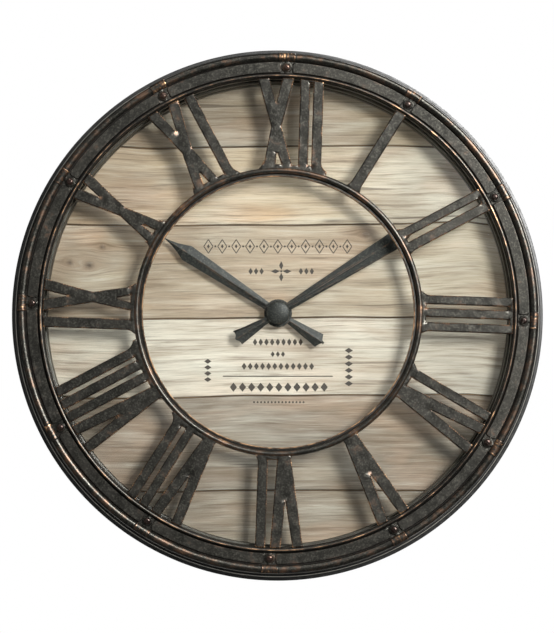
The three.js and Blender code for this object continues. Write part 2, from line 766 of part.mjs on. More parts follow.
// Knurled setting knob behind the movement, with its pinion in mesh with the reduction wheel.
const knurl = polygon(
  Array.from({ length: 28 }, (_, i) => {
    const r = i % 2 ? 4.9 : 5.4;
    const a = (i * Math.PI) / 14;
    return [knob.x + r * Math.cos(a), knob.z + r * Math.sin(a)];
  }),
);
node(
  "setting_knob",
  unite([
    plate(knurl, -3.0, -0.7),
    rod(knob.x, knob.z, 1.2, -15.5, -2.0, 12),
    gear(knob.x, knob.z, 8, MOTION_MODULE, knobTooth, ...layer.motion),
  ]),
  blackPlastic,
);

// A wheel and pinion on one arbor.
function trainWheel(axis, stage, toothAt, wheelLayer, pinionModule, pinionToothAt, pinionLayer) {
  const front = Math.min(wheelLayer[0], pinionLayer[0]);
  const rear = Math.max(wheelLayer[1], pinionLayer[1]);
  return unite([
    gear(axis.x, axis.z, stage.teeth, stage.module, toothAt, ...wheelLayer),
    gear(axis.x, axis.z, PINION, pinionModule, pinionToothAt, pinionLayer[0], pinionLayer[1]),
    rod(axis.x, axis.z, 0.45, front - 0.5, rear + 0.5, 8),
    rod(axis.x, axis.z, 0.6, wheelLayer[0], pinionLayer[1], 8),
  ]);
}

const wheelTooth = 0;
const thirdPinionTooth = meshAngle(centre, third, CENTRE_STAGE.teeth, wheelTooth, PINION);
const secondsPinionTooth = meshAngle(third, seconds, THIRD_STAGE.teeth, wheelTooth, PINION);
const intermediatePinionTooth = meshAngle(
  seconds,
  intermediate,
  SECONDS_STAGE.teeth,
  wheelTooth,
  PINION,
);
const rotorPinionTooth = meshAngle(intermediate, rotor, INTERMEDIATE_STAGE.teeth, wheelTooth, PINION);

node(
  "centre_drive_wheel",
  cut(
    unite([
      gear(0, 0, CENTRE_STAGE.teeth, CENTRE_STAGE.module, wheelTooth, ...layer.centre),
      rod(0, 0, 1.9, layer.centre[0], layer.centre[1] + 1.2, 16),
    ]),
    [rod(0, 0, 1.3, -20, -8, 16)],
  ),
  nylon,
);

// Each pinion reaches forward into the layer of the wheel it drives.
function pinionSpan(ownLayer, drivenLayer) {
  return [drivenLayer[0], ownLayer[0] + 0.1];
}
node(
  "third_wheel",
  trainWheel(
    third,
    THIRD_STAGE,
    wheelTooth,
    layer.third,
    CENTRE_STAGE.module,
    thirdPinionTooth,
    pinionSpan(layer.third, layer.centre),
  ),
  nylon,
);
node(
  "seconds_wheel",
  trainWheel(
    seconds,
    SECONDS_STAGE,
    wheelTooth,
    layer.seconds,
    THIRD_STAGE.module,
    secondsPinionTooth,
    pinionSpan(layer.seconds, layer.third),
  ),
  nylon,
);
node(
  "intermediate_wheel",
  trainWheel(
    intermediate,
    INTERMEDIATE_STAGE,
    wheelTooth,
    layer.intermediate,
    SECONDS_STAGE.module,
    intermediatePinionTooth,
    pinionSpan(layer.intermediate, layer.seconds),
  ),
  nylon,
);

const STATOR_Y = [-8.0, -7.0];
node(
  "rotor",
  unite([
    rod(rotor.x, rotor.z, 3.1, -8.5, -6.4, 24),
    gear(rotor.x, rotor.z, PINION, INTERMEDIATE_STAGE.module, rotorPinionTooth, -9.7, -8.4),
    rod(rotor.x, rotor.z, 0.4, -10.1, -5.4, 8),
  ]),
  steel,
);

// ---------------------------------------------------------------- stator, coil, circuit board
const COIL = { left: -21, right: -1, z: 21.8, r: 2.65, y: -7.5 };
const coilCore = block([-24, STATOR_Y[0], COIL.z - 0.8], [6, STATOR_Y[1], COIL.z + 0.8]);
const returnLeg = block([-24, STATOR_Y[0], 15.2], [6, STATOR_Y[1], 16.8]);
const leftLeg = block([-24, STATOR_Y[0], 15.2], [-22.2, STATOR_Y[1], COIL.z + 0.8]);
const rotorEye = rod(rotor.x, rotor.z, 6.0, ...STATOR_Y, 24);
node(
  "stator",
  cut(unite([coilCore, returnLeg, leftLeg, rotorEye]), [rod(rotor.x, rotor.z, 3.7, -9, -6, 24)]),
  steel,
);

const bobbin = [
  [1.45, COIL.left],
  [COIL.r, COIL.left],
  [COIL.r, COIL.left + 0.8],
  [2.3, COIL.left + 0.8],
  [2.3, COIL.right - 0.8],
  [COIL.r, COIL.right - 0.8],
  [COIL.r, COIL.right],
  [1.45, COIL.right],
];
node("coil", turned(bobbin, 16).rotate([0, 0, -90]).translate([0, COIL.y, COIL.z]), copper);

const boardPlate = plate(rounded(16, 13.6, 1, -17, -2.4), -8.6, -7.6, 2);
const chip = rod(-15.5, -1, 2.6, -9.6, -8.5, 14);
const crystal = block([-23.5, -10.2, -8.0], [-21.6, -8.5, -1.6]);
node("circuit_board", unite([boardPlate, chip, crystal]), greenBoard);

// ---------------------------------------------------------------- movement case and cover
const inside = MOVEMENT_HALF - MOVEMENT_WALL;
const caseFloorY = MOVEMENT_FRONT_Y + 1.0;
const movementShell = plate(
  rounded(2 * MOVEMENT_HALF, 2 * MOVEMENT_HALF, 3),
  MOVEMENT_FRONT_Y,
  MOVEMENT_BACK_Y,
  4,
);
const trainSpace = block([-inside, caseFloorY, BAY_TOP_Z + MOVEMENT_WALL], [inside, 0, inside]);
const cellSpace = block([-inside, caseFloorY, -inside], [inside, 0, BAY_TOP_Z]);
const coverLedges = [-1, 1].map((side) =>
  block(
    [side > 0 ? inside - 1.6 : -inside - 0.2, -16.2, side > 0 ? inside - 1.6 : BAY_TOP_Z + 0.5],
    [
      side > 0 ? inside + 0.2 : -inside + 1.6,
      -5.0,
      side > 0 ? inside + 0.2 : BAY_TOP_Z + MOVEMENT_WALL + 1.6,
    ],
  ),
);
const threadedTube = rod(0, 0, 3.95, -24.0, MOVEMENT_FRONT_Y + 0.2, 24);
node(
  "movement_case",
  cut(unite([cut(movementShell, [trainSpace, cellSpace]), ...coverLedges, threadedTube]), [
    rod(0, 0, 2.6, -30, -10, 24),
  ]),
  blackPlastic,
);

const coverLow = BAY_TOP_Z + MOVEMENT_WALL + GAP;
const coverHigh = inside - GAP;
const coverShape = rounded(
  2 * coverHigh,
  coverHigh - coverLow,
  0.8,
  0,
  (coverHigh + coverLow) / 2,
);
node(
  "movement_cover",
  plate(coverShape, -4.6, -3.4, 2).subtract(rod(knob.x, knob.z, 1.6, -6, 0, 14)),
  blackPlastic,
);

// ---------------------------------------------------------------- nut and washer on the tube
node("tube_nut", tube(0, 0, 5.5, 4.25, -23.2, DIAL_FRONT_Y - GAP, 24), brass);
node(
  "rubber_washer",
  tube(0, 0, 9.0, 4.25, DIAL_BACK_Y + 0.1, MOVEMENT_FRONT_Y - 0.1, 24),
  rubber,
);

// ---------------------------------------------------------------- cell and its contacts
const CELL_LEFT = -25.0;
const CELL_RIGHT = 25.2;
const cellProfile = [
  [0, CELL_LEFT],
  [CELL_R - 0.6, CELL_LEFT],
  [CELL_R, CELL_LEFT + 0.6],
  [CELL_R, CELL_RIGHT - 2.4],
  [CELL_R - 0.7, CELL_RIGHT - 1.7],
  [2.75, CELL_RIGHT - 1.7],
  [2.75, CELL_RIGHT],
  [0, CELL_RIGHT],
];
node(
  "cell",
  turned(cellProfile, 28).rotate([0, 0, -90]).translate([0, CELL_AXIS.y, CELL_AXIS.z]),
  cellBlue,
);
node(
  "positive_contact",
  block([25.7, CELL_AXIS.y - 4, CELL_AXIS.z - 4.5], [26.1, CELL_AXIS.y + 4, CELL_AXIS.z + 4.5]),
  steel,
);

// The negative contact: a plate with a conical spring that the cell presses nearly flat.
class ConicalSpring extends THREE.Curve {
  getPoint(t, target = new THREE.Vector3()) {
    const a = t * 2.25 * 2 * Math.PI;
    const r = 3.3 - 1.9 * t;
    return target.set(
      -26.25 + 0.85 * t,
      CELL_AXIS.y + r * Math.cos(a),
      CELL_AXIS.z + r * Math.sin(a),
    );
  }
}
const wire = new THREE.Shape();
wire.absarc(0, 0, 0.2, 0, 2 * Math.PI);
const springWire = new THREE.ExtrudeGeometry(wire, {
  steps: 24,
  extrudePath: new ConicalSpring(),
  curveSegments: 3,
  bevelEnabled: false,
});
node(
  "negative_contact",
  unite([
    block([-26.6, CELL_AXIS.y - 4.2, CELL_AXIS.z - 4.5], [-26.2, CELL_AXIS.y + 4.2, CELL_AXIS.z + 4.5]),
    solid(springWire),
  ]),
  steel,
);

// ---------------------------------------------------------------- assembly
const clock = new THREE.Group();
clock.name = "wall_clock";
nodes.forEach((mesh) => {
  mesh.geometry.translate(0, 0, -NAIL_SEAT_Z);
  clock.add(mesh);
});

export default clock;
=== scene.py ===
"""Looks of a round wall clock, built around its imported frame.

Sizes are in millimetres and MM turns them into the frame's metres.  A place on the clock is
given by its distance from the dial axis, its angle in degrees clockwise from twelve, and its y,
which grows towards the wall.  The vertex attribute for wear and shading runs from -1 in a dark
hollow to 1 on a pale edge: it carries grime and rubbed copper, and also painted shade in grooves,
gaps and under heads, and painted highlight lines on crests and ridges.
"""
import math
import random

import bmesh
import bpy
import numpy as np
from mathutils import Matrix, Vector, noise
from mathutils.geometry import delaunay_2d_cdt


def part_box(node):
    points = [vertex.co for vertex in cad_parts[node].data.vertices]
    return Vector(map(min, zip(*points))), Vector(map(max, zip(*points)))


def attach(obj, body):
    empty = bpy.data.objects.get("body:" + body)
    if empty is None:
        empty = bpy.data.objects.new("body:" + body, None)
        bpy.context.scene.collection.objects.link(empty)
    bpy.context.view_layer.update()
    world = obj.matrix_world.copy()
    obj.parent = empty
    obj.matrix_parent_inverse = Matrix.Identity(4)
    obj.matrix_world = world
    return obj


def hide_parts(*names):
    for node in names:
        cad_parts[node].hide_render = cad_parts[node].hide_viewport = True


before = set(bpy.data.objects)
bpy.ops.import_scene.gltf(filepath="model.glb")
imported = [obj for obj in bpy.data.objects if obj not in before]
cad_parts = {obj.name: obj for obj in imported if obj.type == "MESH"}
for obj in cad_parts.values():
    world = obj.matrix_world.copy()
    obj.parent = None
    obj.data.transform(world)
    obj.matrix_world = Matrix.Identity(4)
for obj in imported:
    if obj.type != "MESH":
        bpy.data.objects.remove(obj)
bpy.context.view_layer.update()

MM = 0.001
lens_low, lens_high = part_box("lens")
HUB = Vector(((lens_low.x + lens_high.x) / 2, 0, (lens_low.z + lens_high.z) / 2))
HOURS = range(1, 13)
FRAME_TURN = 2.0  # the cast frame sits slightly clockwise of the dial
random.seed(12)


# ------------------------------------------------------------------ shape helpers
def at(radius, angle, y):
    """The frame position of a place on the clock."""
    turn = math.radians(angle)
    return Vector((HUB.x + radius * MM * math.sin(turn), y * MM, HUB.z + radius * MM * math.cos(turn)))


def on_dial(x, z, y):
    return Vector((HUB.x + x * MM, y * MM, HUB.z + z * MM))


def smooth(low, high, value):
    t = min(1.0, max(0.0, (value - low) / (high - low)))
    return t * t * (3 - 2 * t)


def bell(centre, width, value):
    return math.exp(-(((value - centre) / width) ** 2))


def arc(radius, y, tube, start, end, steps):
    """Points round a tube's section; 0 degrees points away from the axis, 90 to the front."""
    points = []
    for i in range(steps + 1):
        turn = math.radians(start + (end - start) * i / steps)
        points.append((radius + tube * math.cos(turn), y - tube * math.sin(turn)))
    return points


def soften(outline, reach, wear_shading=0.6, closed=True, steps=3):
    """Rounds an outline's corners and gives (radius, y, wear and shading) points."""
    points = []
    last = len(outline) - 1
    for i, place in enumerate(outline):
        corner = Vector(place)
        if not closed and i in (0, last):
            points.append((corner.x, corner.y, 0.0))
            continue
        before = Vector(outline[i - 1]) - corner
        after = Vector(outline[(i + 1) % len(outline)]) - corner
        step = min(reach, 0.45 * before.length, 0.45 * after.length)
        start = corner + before.normalized() * step
        end = corner + after.normalized() * step
        for k in range(steps + 1):
            t = k / steps
            p = start * (1 - t) ** 2 + corner * 2 * t * (1 - t) + end * t ** 2
            points.append((p.x, p.y, wear_shading if 0 < k < steps else 0.0))
    return points


def add_attribute(mesh, name, kind, values):
    attribute = mesh.attributes.new(name, kind, "POINT")
    key = {"FLOAT": "value", "FLOAT_VECTOR": "vector", "FLOAT_COLOR": "color"}[kind]
    flat = values if kind == "FLOAT" else [number for value in values for number in value]
    attribute.data.foreach_set(key, flat)


def new_piece(name, places, faces, wear_and_shading=None):
    mesh = bpy.data.meshes.new(name)
    mesh.from_pydata(places, [], faces)
    if wear_and_shading:
        add_attribute(mesh, "wear_and_shading", "FLOAT", wear_and_shading)
    piece = bpy.data.objects.new(name, mesh)
    bpy.context.scene.collection.objects.link(piece)
    return piece


def ring_piece(name, angles, section):
    """A closed ring about the dial axis; section(angle) lists its (radius, y, wear and shading) points."""
    places = []
    wear_and_shading = []
    for angle in angles:
        for radius, y, wear_shading in section(angle):
            places.append(at(radius, angle, y))
            wear_and_shading.append(wear_shading)
    rows = len(angles)
    count = len(places) // rows
    faces = []
    for i in range(rows):
        this, following = i * count, (i + 1) % rows * count
        for j in range(count):
            k = (j + 1) % count
            faces.append((this + j, this + k, following + k, following + j))
    return new_piece(name, places, faces, wear_and_shading)


def even_angles(count):
    return [360 * i / count for i in range(count)]


def turned_piece(name, profile, centre, segments=48, along="Y"):
    """A solid turned about an axis through centre; profile lists (radius, height, wear and shading)."""
    places = []
    wear_and_shading = []
    for i in range(segments):
        turn = 2 * math.pi * i / segments
        for radius, height, wear_shading in profile:
            across = (radius * math.sin(turn), radius * math.cos(turn))
            offset = (across[0], height, across[1]) if along == "Y" else (height, *across)
            places.append(centre + Vector(offset) * MM)
            wear_and_shading.append(wear_shading)
    count = len(profile)
    faces = []
    for i in range(segments):
        this, following = i * count, (i + 1) % segments * count
        for j in range(count - 1):
            faces.append((this + j, this + j + 1, following + j + 1, following + j))
    piece = new_piece(name, places, faces, wear_and_shading)
    edit_mesh(piece, lambda bm: bmesh.ops.remove_doubles(bm, verts=bm.verts, dist=0.0005 * MM))
    return piece


def edit_mesh(piece, change):
    bm = bmesh.new()
    bm.from_mesh(piece.data)
    change(bm)
    bm.to_mesh(piece.data)
    bm.free()


def block_piece(name, low, high):
    corners = [(x, y, z) for x in (low[0], high[0]) for y in (low[1], high[1]) for z in (low[2], high[2])]
    faces = [(0, 1, 3, 2), (4, 6, 7, 5), (0, 4, 5, 1), (2, 3, 7, 6), (0, 2, 6, 4), (1, 5, 7, 3)]
    return new_piece(name, [on_dial(x, z, y) for x, y, z in corners], faces)


def carve(piece, cutters):
    """Cuts the closed cutter pieces out of piece, and removes them."""
    for cutter in cutters:
        edit_mesh(cutter, lambda bm: bmesh.ops.recalc_face_normals(bm, faces=bm.faces))
    edit_mesh(piece, lambda bm: bmesh.ops.recalc_face_normals(bm, faces=bm.faces))
    for cutter in cutters:
        modifier = piece.modifiers.new("cut", "BOOLEAN")
        modifier.object = cutter
        modifier.solver = "EXACT"
    graph = bpy.context.evaluated_depsgraph_get()
    carved = bpy.data.meshes.new_from_object(piece.evaluated_get(graph))
    piece.modifiers.clear()
    piece.data = carved
    for cutter in cutters:
        bpy.data.objects.remove(cutter)


def turned_copy(piece, name, angle):
    """A copy of a piece, turned clockwise about the dial axis."""
    mesh = piece.data.copy()
    to_hub = Matrix.Translation(HUB)
    mesh.transform(to_hub @ Matrix.Rotation(math.radians(angle), 4, "Y") @ to_hub.inverted())
    copy = bpy.data.objects.new(name, mesh)
    bpy.context.scene.collection.objects.link(copy)
    return copy


def finish_piece(piece, body, material, replaces=(), sharp=35):
    def shade(bm):
        bmesh.ops.recalc_face_normals(bm, faces=bm.faces)
        for face in bm.faces:
            face.smooth = True
        for edge in bm.edges:
            edge.smooth = edge.calc_face_angle(math.pi) < math.radians(sharp)

    edit_mesh(piece, shade)
    piece.data.materials.clear()
    piece.data.materials.append(material)
    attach(piece, body)
    if replaces:
        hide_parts(*replaces)
    return piece


# ------------------------------------------------------------------ material helpers
def srgb(red, green, blue):
    """A colour given in screen values from 0 to 255, as the linear colour that nodes use."""
    def linear(value):
        value /= 255
        return value / 12.92 if value <= 0.04045 else ((value + 0.055) / 1.055) ** 2.4

    return (linear(red), linear(green), linear(blue), 1.0)


class Finish:
    """A procedural material and the nodes that feed its surface shader."""

    def __init__(self, name, **fixed):
        self.material = bpy.data.materials.new(name)
        self.material.use_nodes = True
        self.nodes = self.material.node_tree.nodes
        self.links = self.material.node_tree.links
        self.surface = self.nodes["Principled BSDF"]
        for key, value in fixed.items():
            self.surface.inputs[key.replace("_", " ")].default_value = value
        self.place = self.add("ShaderNodeTexCoord").outputs["Object"]

    def plug(self, socket, value):
        if isinstance(value, bpy.types.NodeSocket):
            self.links.new(value, socket)
        else:
            socket.default_value = value

    def add(self, kind, inputs=(), **settings):
        node = self.nodes.new(kind)
        for key, value in settings.items():
            setattr(node, key, value)
        for key, value in dict(inputs).items():
            self.plug(node.inputs[key], value)
        return node

    def stretch(self, x, y, z, vector=None):
        inputs = {"Vector": vector or self.place, "Scale": (x, y, z)}
        return self.add("ShaderNodeMapping", inputs).outputs["Vector"]

    def noise(self, scale, detail=3.0, rough=0.5, vector=None, distortion=0.0):
        inputs = {"Vector": vector or self.place, "Scale": scale, "Detail": detail}
        inputs.update({"Roughness": rough, "Distortion": distortion})
        return self.add("ShaderNodeTexNoise", inputs).outputs["Fac"]

    def math(self, operation, a, b=0.0):
        return self.add("ShaderNodeMath", {0: a, 1: b}, operation=operation).outputs[0]

    def spread(self, value, low, high, to_low=0.0, to_high=1.0):
        inputs = {"Value": value, "From Min": low, "From Max": high, "To Min": to_low, "To Max": to_high}
        return self.add("ShaderNodeMapRange", inputs, interpolation_type="SMOOTHSTEP").outputs["Result"]

    def mix(self, factor, a, b, blend="MIX"):
        node = self.add("ShaderNodeMix", {0: factor, 6: a, 7: b}, data_type="RGBA", blend_type=blend)
        return node.outputs[2]

    def attribute(self, name, output="Fac"):
        return self.add("ShaderNodeAttribute", attribute_name=name).outputs[output]

    def bump(self, *layers):
        """Each layer is a height and its depth in millimetres."""
        normal = None
        for height, depth in layers:
            node = self.add("ShaderNodeBump", {"Height": height, "Distance": depth * MM})
            if normal:
                self.links.new(normal, node.inputs["Normal"])
            normal = node.outputs["Normal"]
        self.links.new(normal, self.surface.inputs["Normal"])

    def done(self, colour, roughness):
        self.plug(self.surface.inputs["Base Color"], colour)
        self.plug(self.surface.inputs["Roughness"], roughness)
        return self.material


def aged_metal_with_shading(name, dark, pale, wear_shading, rub_and_shine=0.0, metallic=0.75, rough=0.4, specular=0.5):
    """Charcoal paint over a copper tone: rubbed through on edges, with painted highlight lines on some crests,
    and dark in the hollows as grime and painted shade.
    """
    f = Finish(name, Metallic=metallic, Specular_IOR_Level=specular)
    wear_and_shading = f.attribute("wear_and_shading")
    cloud = f.noise(60, 4, 0.6)
    patch = f.noise(240, 4, 0.65)
    speck = f.noise(1500, 2, 0.6)
    level = f.math("ADD", wear_and_shading, f.math("MULTIPLY", f.math("SUBTRACT", patch, 0.5), 1.35))
    level = f.math("ADD", level, f.math("MULTIPLY", f.math("SUBTRACT", cloud, 0.5), 0.9))
    level = f.math("ADD", level, rub_and_shine)
    tone = f.mix(f.spread(cloud, 0.25, 0.75), dark, pale)
    tone = f.mix(f.spread(speck, 0.45, 0.75, 0.0, 0.35), tone, srgb(112, 110, 100))
    brown = f.mix(f.spread(level, 0.15, 0.6), tone, srgb(88, 68, 54))
    # Copper where the marking is high: rubbed edges, and painted highlight lines on the bead, the inner ring and
    # the screw heads.
    rubbed_and_highlit = f.mix(f.spread(level, 0.55, 0.95), brown, wear_shading)
    # Dark brown where the marking is low: grime, and painted shade in grooves, recesses and under heads.
    grime_and_shade = f.spread(f.math("MULTIPLY", wear_and_shading, -1.0), 0.1, 0.8, 0.0, 0.9)
    colour = f.mix(grime_and_shade, rubbed_and_highlit, srgb(26, 21, 18))
    f.bump((patch, 0.04), (speck, 0.03))
    uneven = f.spread(patch, 0.3, 0.7, rough - 0.04, rough + 0.06)
    roughness = f.math("ADD", uneven, f.math("MULTIPLY", grime_and_shade, 0.25))
    return f.done(colour, roughness)


def plain_finish(
    name, first, second, scale, rough, metallic=0.0, depth=0.03, stretch=(1, 1, 1), rub_and_shine=0.35, **fixed
):
    """Two close tones in a fine pattern, with uneven gloss, a slight grain and pale edges: worn, and on the rear
    case partly painted highlights.
    """
    f = Finish(name, Metallic=metallic, **fixed)
    vector = f.stretch(*stretch)
    fine = f.noise(scale, 4, 0.6, vector)
    broad = f.noise(scale * 0.08, 3, 0.5)
    tone = f.mix(f.spread(fine, 0.3, 0.7), first, second)
    tone = f.mix(f.spread(broad, 0.35, 0.7, 0.0, 0.5), tone, first)
    # Edges pale where the marking is high: wear, and on the rear case also painted highlights.
    edge = f.math("ADD", f.attribute("wear_and_shading"), f.math("MULTIPLY", f.math("SUBTRACT", broad, 0.5), 1.2))
    colour = f.mix(f.spread(edge, 0.3, 0.9, 0.0, rub_and_shine), tone, srgb(176, 172, 162))
    f.bump((fine, depth))
    return f.done(colour, f.spread(fine, 0.25, 0.75, rough - 0.08, rough + 0.1))


def wood_finish():
    """Weathered, printed-looking planks: the tone, which is partly painted shade, and the run of the grain come
    with the mesh.
    """
    f = Finish("plank_wood", Metallic=0.0, Specular_IOR_Level=0.35)
    tone = f.attribute("tone", "Color")
    grain = f.attribute("grain", "Vector")
    wide = f.noise(1.0, 4, 0.6, f.stretch(16, 1, 170, grain), 0.3)
    streak = f.noise(1.0, 5, 0.65, f.stretch(26, 1, 620, grain), 0.25)
    fine = f.noise(1.0, 3, 0.7, f.stretch(60, 1, 2300, grain))
    crack = f.noise(1.0, 2, 0.5, f.stretch(11, 1, 420, grain), 0.4)
    drift = f.noise(1.0, 3, 0.6, f.stretch(14, 1, 46, grain), 0.6)
    colour = f.mix(f.spread(drift, 0.45, 0.7, 0.0, 0.4), tone, srgb(208, 174, 148))
    colour = f.mix(f.spread(drift, 0.45, 0.25, 0.0, 0.35), colour, srgb(172, 166, 156))
    colour = f.mix(f.spread(wide, 0.42, 0.7, 0.0, 0.34), colour, srgb(134, 108, 84))
    colour = f.mix(f.spread(wide, 0.45, 0.25, 0.0, 0.30), colour, srgb(226, 220, 206))
    colour = f.mix(f.spread(streak, 0.47, 0.72, 0.0, 0.62), colour, srgb(104, 84, 66))
    colour = f.mix(f.spread(streak, 0.48, 0.25, 0.0, 0.35), colour, srgb(232, 226, 212))
    colour = f.mix(f.spread(fine, 0.45, 0.75, 0.0, 0.55), colour, srgb(112, 98, 82))
    colour = f.mix(f.spread(fine, 0.45, 0.2, 0.0, 0.4), colour, srgb(232, 227, 216))
    colour = f.mix(f.spread(crack, 0.665, 0.72, 0.0, 0.6), colour, srgb(74, 58, 44))
    seam = f.spread(f.math("MULTIPLY", f.attribute("wear_and_shading"), -1.0), 0.2, 1.0, 0.0, 0.92)
    colour = f.mix(seam, colour, srgb(44, 34, 26))
    f.bump((streak, 0.05), (fine, 0.03))
    return f.done(colour, f.spread(streak, 0.3, 0.7, 0.62, 0.8))


def winding_finish():
    """Enamelled wire laid side by side."""
    f = Finish("coil_copper", Metallic=0.85)
    turns = f.add("ShaderNodeTexWave", {"Vector": f.place, "Scale": 900.0, "Distortion": 0.6})
    colour = f.mix(turns.outputs["Fac"], srgb(96, 44, 20), srgb(196, 110, 60))
    f.bump((turns.outputs["Fac"], 0.08))
    return f.done(colour, f.spread(turns.outputs["Fac"], 0.0, 1.0, 0.5, 0.28))


def jacket_finish(low_x, high_x):
    """A plain printed can: blue, with a pale band at the positive end."""
    f = Finish("cell_jacket", Metallic=0.55)
    along = f.add("ShaderNodeSeparateXYZ", {0: f.place}).outputs["X"]
    band = f.spread(along, low_x + (high_x - low_x) * 0.74, low_x + (high_x - low_x) * 0.745)
    scuff = f.noise(420, 4, 0.6)
    colour = f.mix(band, srgb(26, 58, 96), srgb(186, 178, 158))
    colour = f.mix(f.spread(scuff, 0.55, 0.8, 0.0, 0.5), colour, srgb(120, 128, 136))
    f.bump((scuff, 0.02))
    return f.done(colour, f.spread(scuff, 0.3, 0.7, 0.26, 0.42))


def glass_finish():
    """Clear glass that mirrors a little and hides nothing."""
    f = Finish("lens_glass")
    smear = f.noise(35, 3, 0.5)
    clear = f.add("ShaderNodeBsdfTransparent", {"Color": (0.97, 0.98, 0.97, 1)}).outputs[0]
    gloss = f.add("ShaderNodeBsdfGlossy", {"Roughness": f.spread(smear, 0.35, 0.7, 0.04, 0.12)}).outputs[0]
    slant = f.add("ShaderNodeLayerWeight", {"Blend": 0.5}).outputs["Facing"]
    amount = f.spread(f.math("POWER", slant, 4.0), 0.0, 1.0, 0.03, 0.7)
    pane = f.add("ShaderNodeMixShader", {0: amount, 1: clear, 2: gloss}).outputs[0]
    f.links.new(pane, f.nodes["Material Output"].inputs["Surface"])
    f.nodes.remove(f.surface)
    return f.material


# Pale copper for rubbed edges, and also for the painted highlight lines on the bead, the inner ring and the
# screw heads.
COPPER = srgb(206, 164, 122)
CASTING = aged_metal_with_shading("aged_black", srgb(34, 33, 29), srgb(52, 50, 45), COPPER, rough=0.35)
# Hands: the pale grey on their edges and ridge is partly rubbed paint and partly a painted highlight.
HAND_BLACK = aged_metal_with_shading(
    "hand_black", srgb(25, 26, 25), srgb(34, 36, 34), srgb(116, 116, 112), -0.25, 0.1, 0.5, 0.3
)
SCREW_BROWN = aged_metal_with_shading("worn_copper", srgb(44, 34, 31), srgb(68, 52, 46), COPPER, -0.1, 0.8, 0.3)
CASE_BLACK = plain_finish("case_plastic", srgb(34, 34, 33), srgb(46, 46, 43), 500, 0.42, 0.2, 0.006, rub_and_shine=0.55)
# The spacer's dark brownish tone is partly painted shade.
SPACER_GREY = plain_finish("spacer_plastic", srgb(54, 50, 43), srgb(72, 69, 61), 500, 0.4, 0.2, 0.03)
MOULDING = plain_finish("moulded_plastic", srgb(26, 26, 27), srgb(40, 40, 41), 2200, 0.5, 0.0, 0.05)
STEEL = plain_finish("steel", srgb(150, 150, 148), srgb(186, 186, 184), 700, 0.32, 0.92, 0.02, (1, 1, 14))
BRASS = plain_finish("brass", srgb(168, 126, 58), srgb(206, 166, 92), 700, 0.34, 0.92, 0.02)
RUBBER = plain_finish("rubber", srgb(28, 28, 28), srgb(40, 40, 39), 1500, 0.82, 0.0, 0.06)
NYLON = plain_finish("nylon", srgb(216, 212, 200), srgb(234, 231, 222), 900, 0.45, 0.0, 0.02)
BOARD = plain_finish("board", srgb(30, 74, 44), srgb(44, 98, 60), 1200, 0.5, 0.0, 0.04)
FIBRE = plain_finish("fibreboard", srgb(112, 86, 60), srgb(142, 114, 84), 1300, 0.82, 0.0, 0.08, (1, 1, 5))
INK = plain_finish("printed_ink", srgb(52, 43, 36), srgb(76, 64, 54), 1600, 0.7, 0.0, 0.01)
WINDING = winding_finish()
GLASS = glass_finish()
WOOD = wood_finish()


# ------------------------------------------------------------------ bezel
RIM_R = 104.15
RIM_Y = -36.9
RIM_TUBE = 1.55
STRAP_HALF = 3.35
BAND_OUTER_R = 102.3
BAND_INNER_R = 97.6
PANEL_Y = -37.75
GAP_Y = -37.1
PANEL_GAP_HALF = 2.27
BEAD_R = 96.5
BEAD_Y = -38.1
BEAD_TUBE = 0.72
OPENING_R = 95.3
SCREW_R = 99.9
BOSS_R = 2.05


def hour_offset(angle):
    """Degrees from the nearest hour line of the cast frame."""
    return (angle - FRAME_TURN + 15) % 30 - 15


def rim_points(angle, along):
    """The rounded rim, with a rubbed strap bent over it at each hour."""
    side = along * RIM_R
    distance = abs(side)
    strap = 1 - smooth(STRAP_HALF - 0.12, STRAP_HALF + 0.12, distance)
    lip = bell(STRAP_HALF - 0.4, 0.28, side) + 0.4 * bell(0.4 - STRAP_HALF, 0.25, side)
    points = []
    for i in range(23):
        phi = math.radians(-40 + 208 * i / 22)
        dent = noise.noise(Vector((angle * 0.8, i * 0.3, 3.0)))
        patch = noise.noise(Vector((side * 0.9 + angle, i * 0.25, 5.0)))
        tube = RIM_TUBE + 0.27 * strap + 0.04 * lip + 0.02 * dent
        front = max(0.0, math.sin(phi))
        plain_wear = 0.12 + 0.1 * front + 0.25 * dent
        strap_wear = 0.34 + 0.35 * lip * front + 0.6 * patch
        wear_shading = plain_wear * (1 - strap) + strap_wear * strap
        # A dark line just outside each strap's edge, painted shade where the strap stands off the rim.
        wear_shading -= 0.9 * bell(STRAP_HALF + 0.3, 0.25, distance)
        points.append((RIM_R + tube * math.cos(phi), RIM_Y - tube * math.sin(phi), wear_shading))
    return points


def band_height(radius, along):
    """Height and marking of the flat band: two panels, and a screw boss on a rib between them."""
    distance = abs(along) * radius
    outer = max(0.0, radius - (BAND_OUTER_R - 1.7))
    inner = max(0.0, BAND_INNER_R + 0.7 - radius)
    half_gap = PANEL_GAP_HALF + 1.7 - math.sqrt(max(0.0, 1.7 ** 2 - outer ** 2)) + 0.6 * inner
    inside = min(distance - half_gap, BAND_OUTER_R - 0.05 - radius, radius - BAND_INNER_R - 0.05)
    panel = smooth(0.0, 0.3, inside)
    y = GAP_Y + (PANEL_Y - GAP_Y) * panel
    # The recessed gaps between the panels are painted dark as shade; the panels' edges are a little paler.
    wear_shading = -0.85 * (1 - panel) + 0.22 * panel * (1 - smooth(0.2, 0.6, inside))
    reach = math.hypot(distance, radius - SCREW_R)
    boss = 1 - smooth(BOSS_R - 0.3, BOSS_R, reach)
    rib = 1 - smooth(0.55, 0.85, distance)
    y = min(y, GAP_Y - 0.85 * boss, GAP_Y - 0.55 * rib)
    if inside < 0:
        wear_shading = max(wear_shading, 0.5 * bell(BOSS_R - 0.25, 0.3, reach) - 0.3, 0.25 * rib - 0.3)
    return y, wear_shading


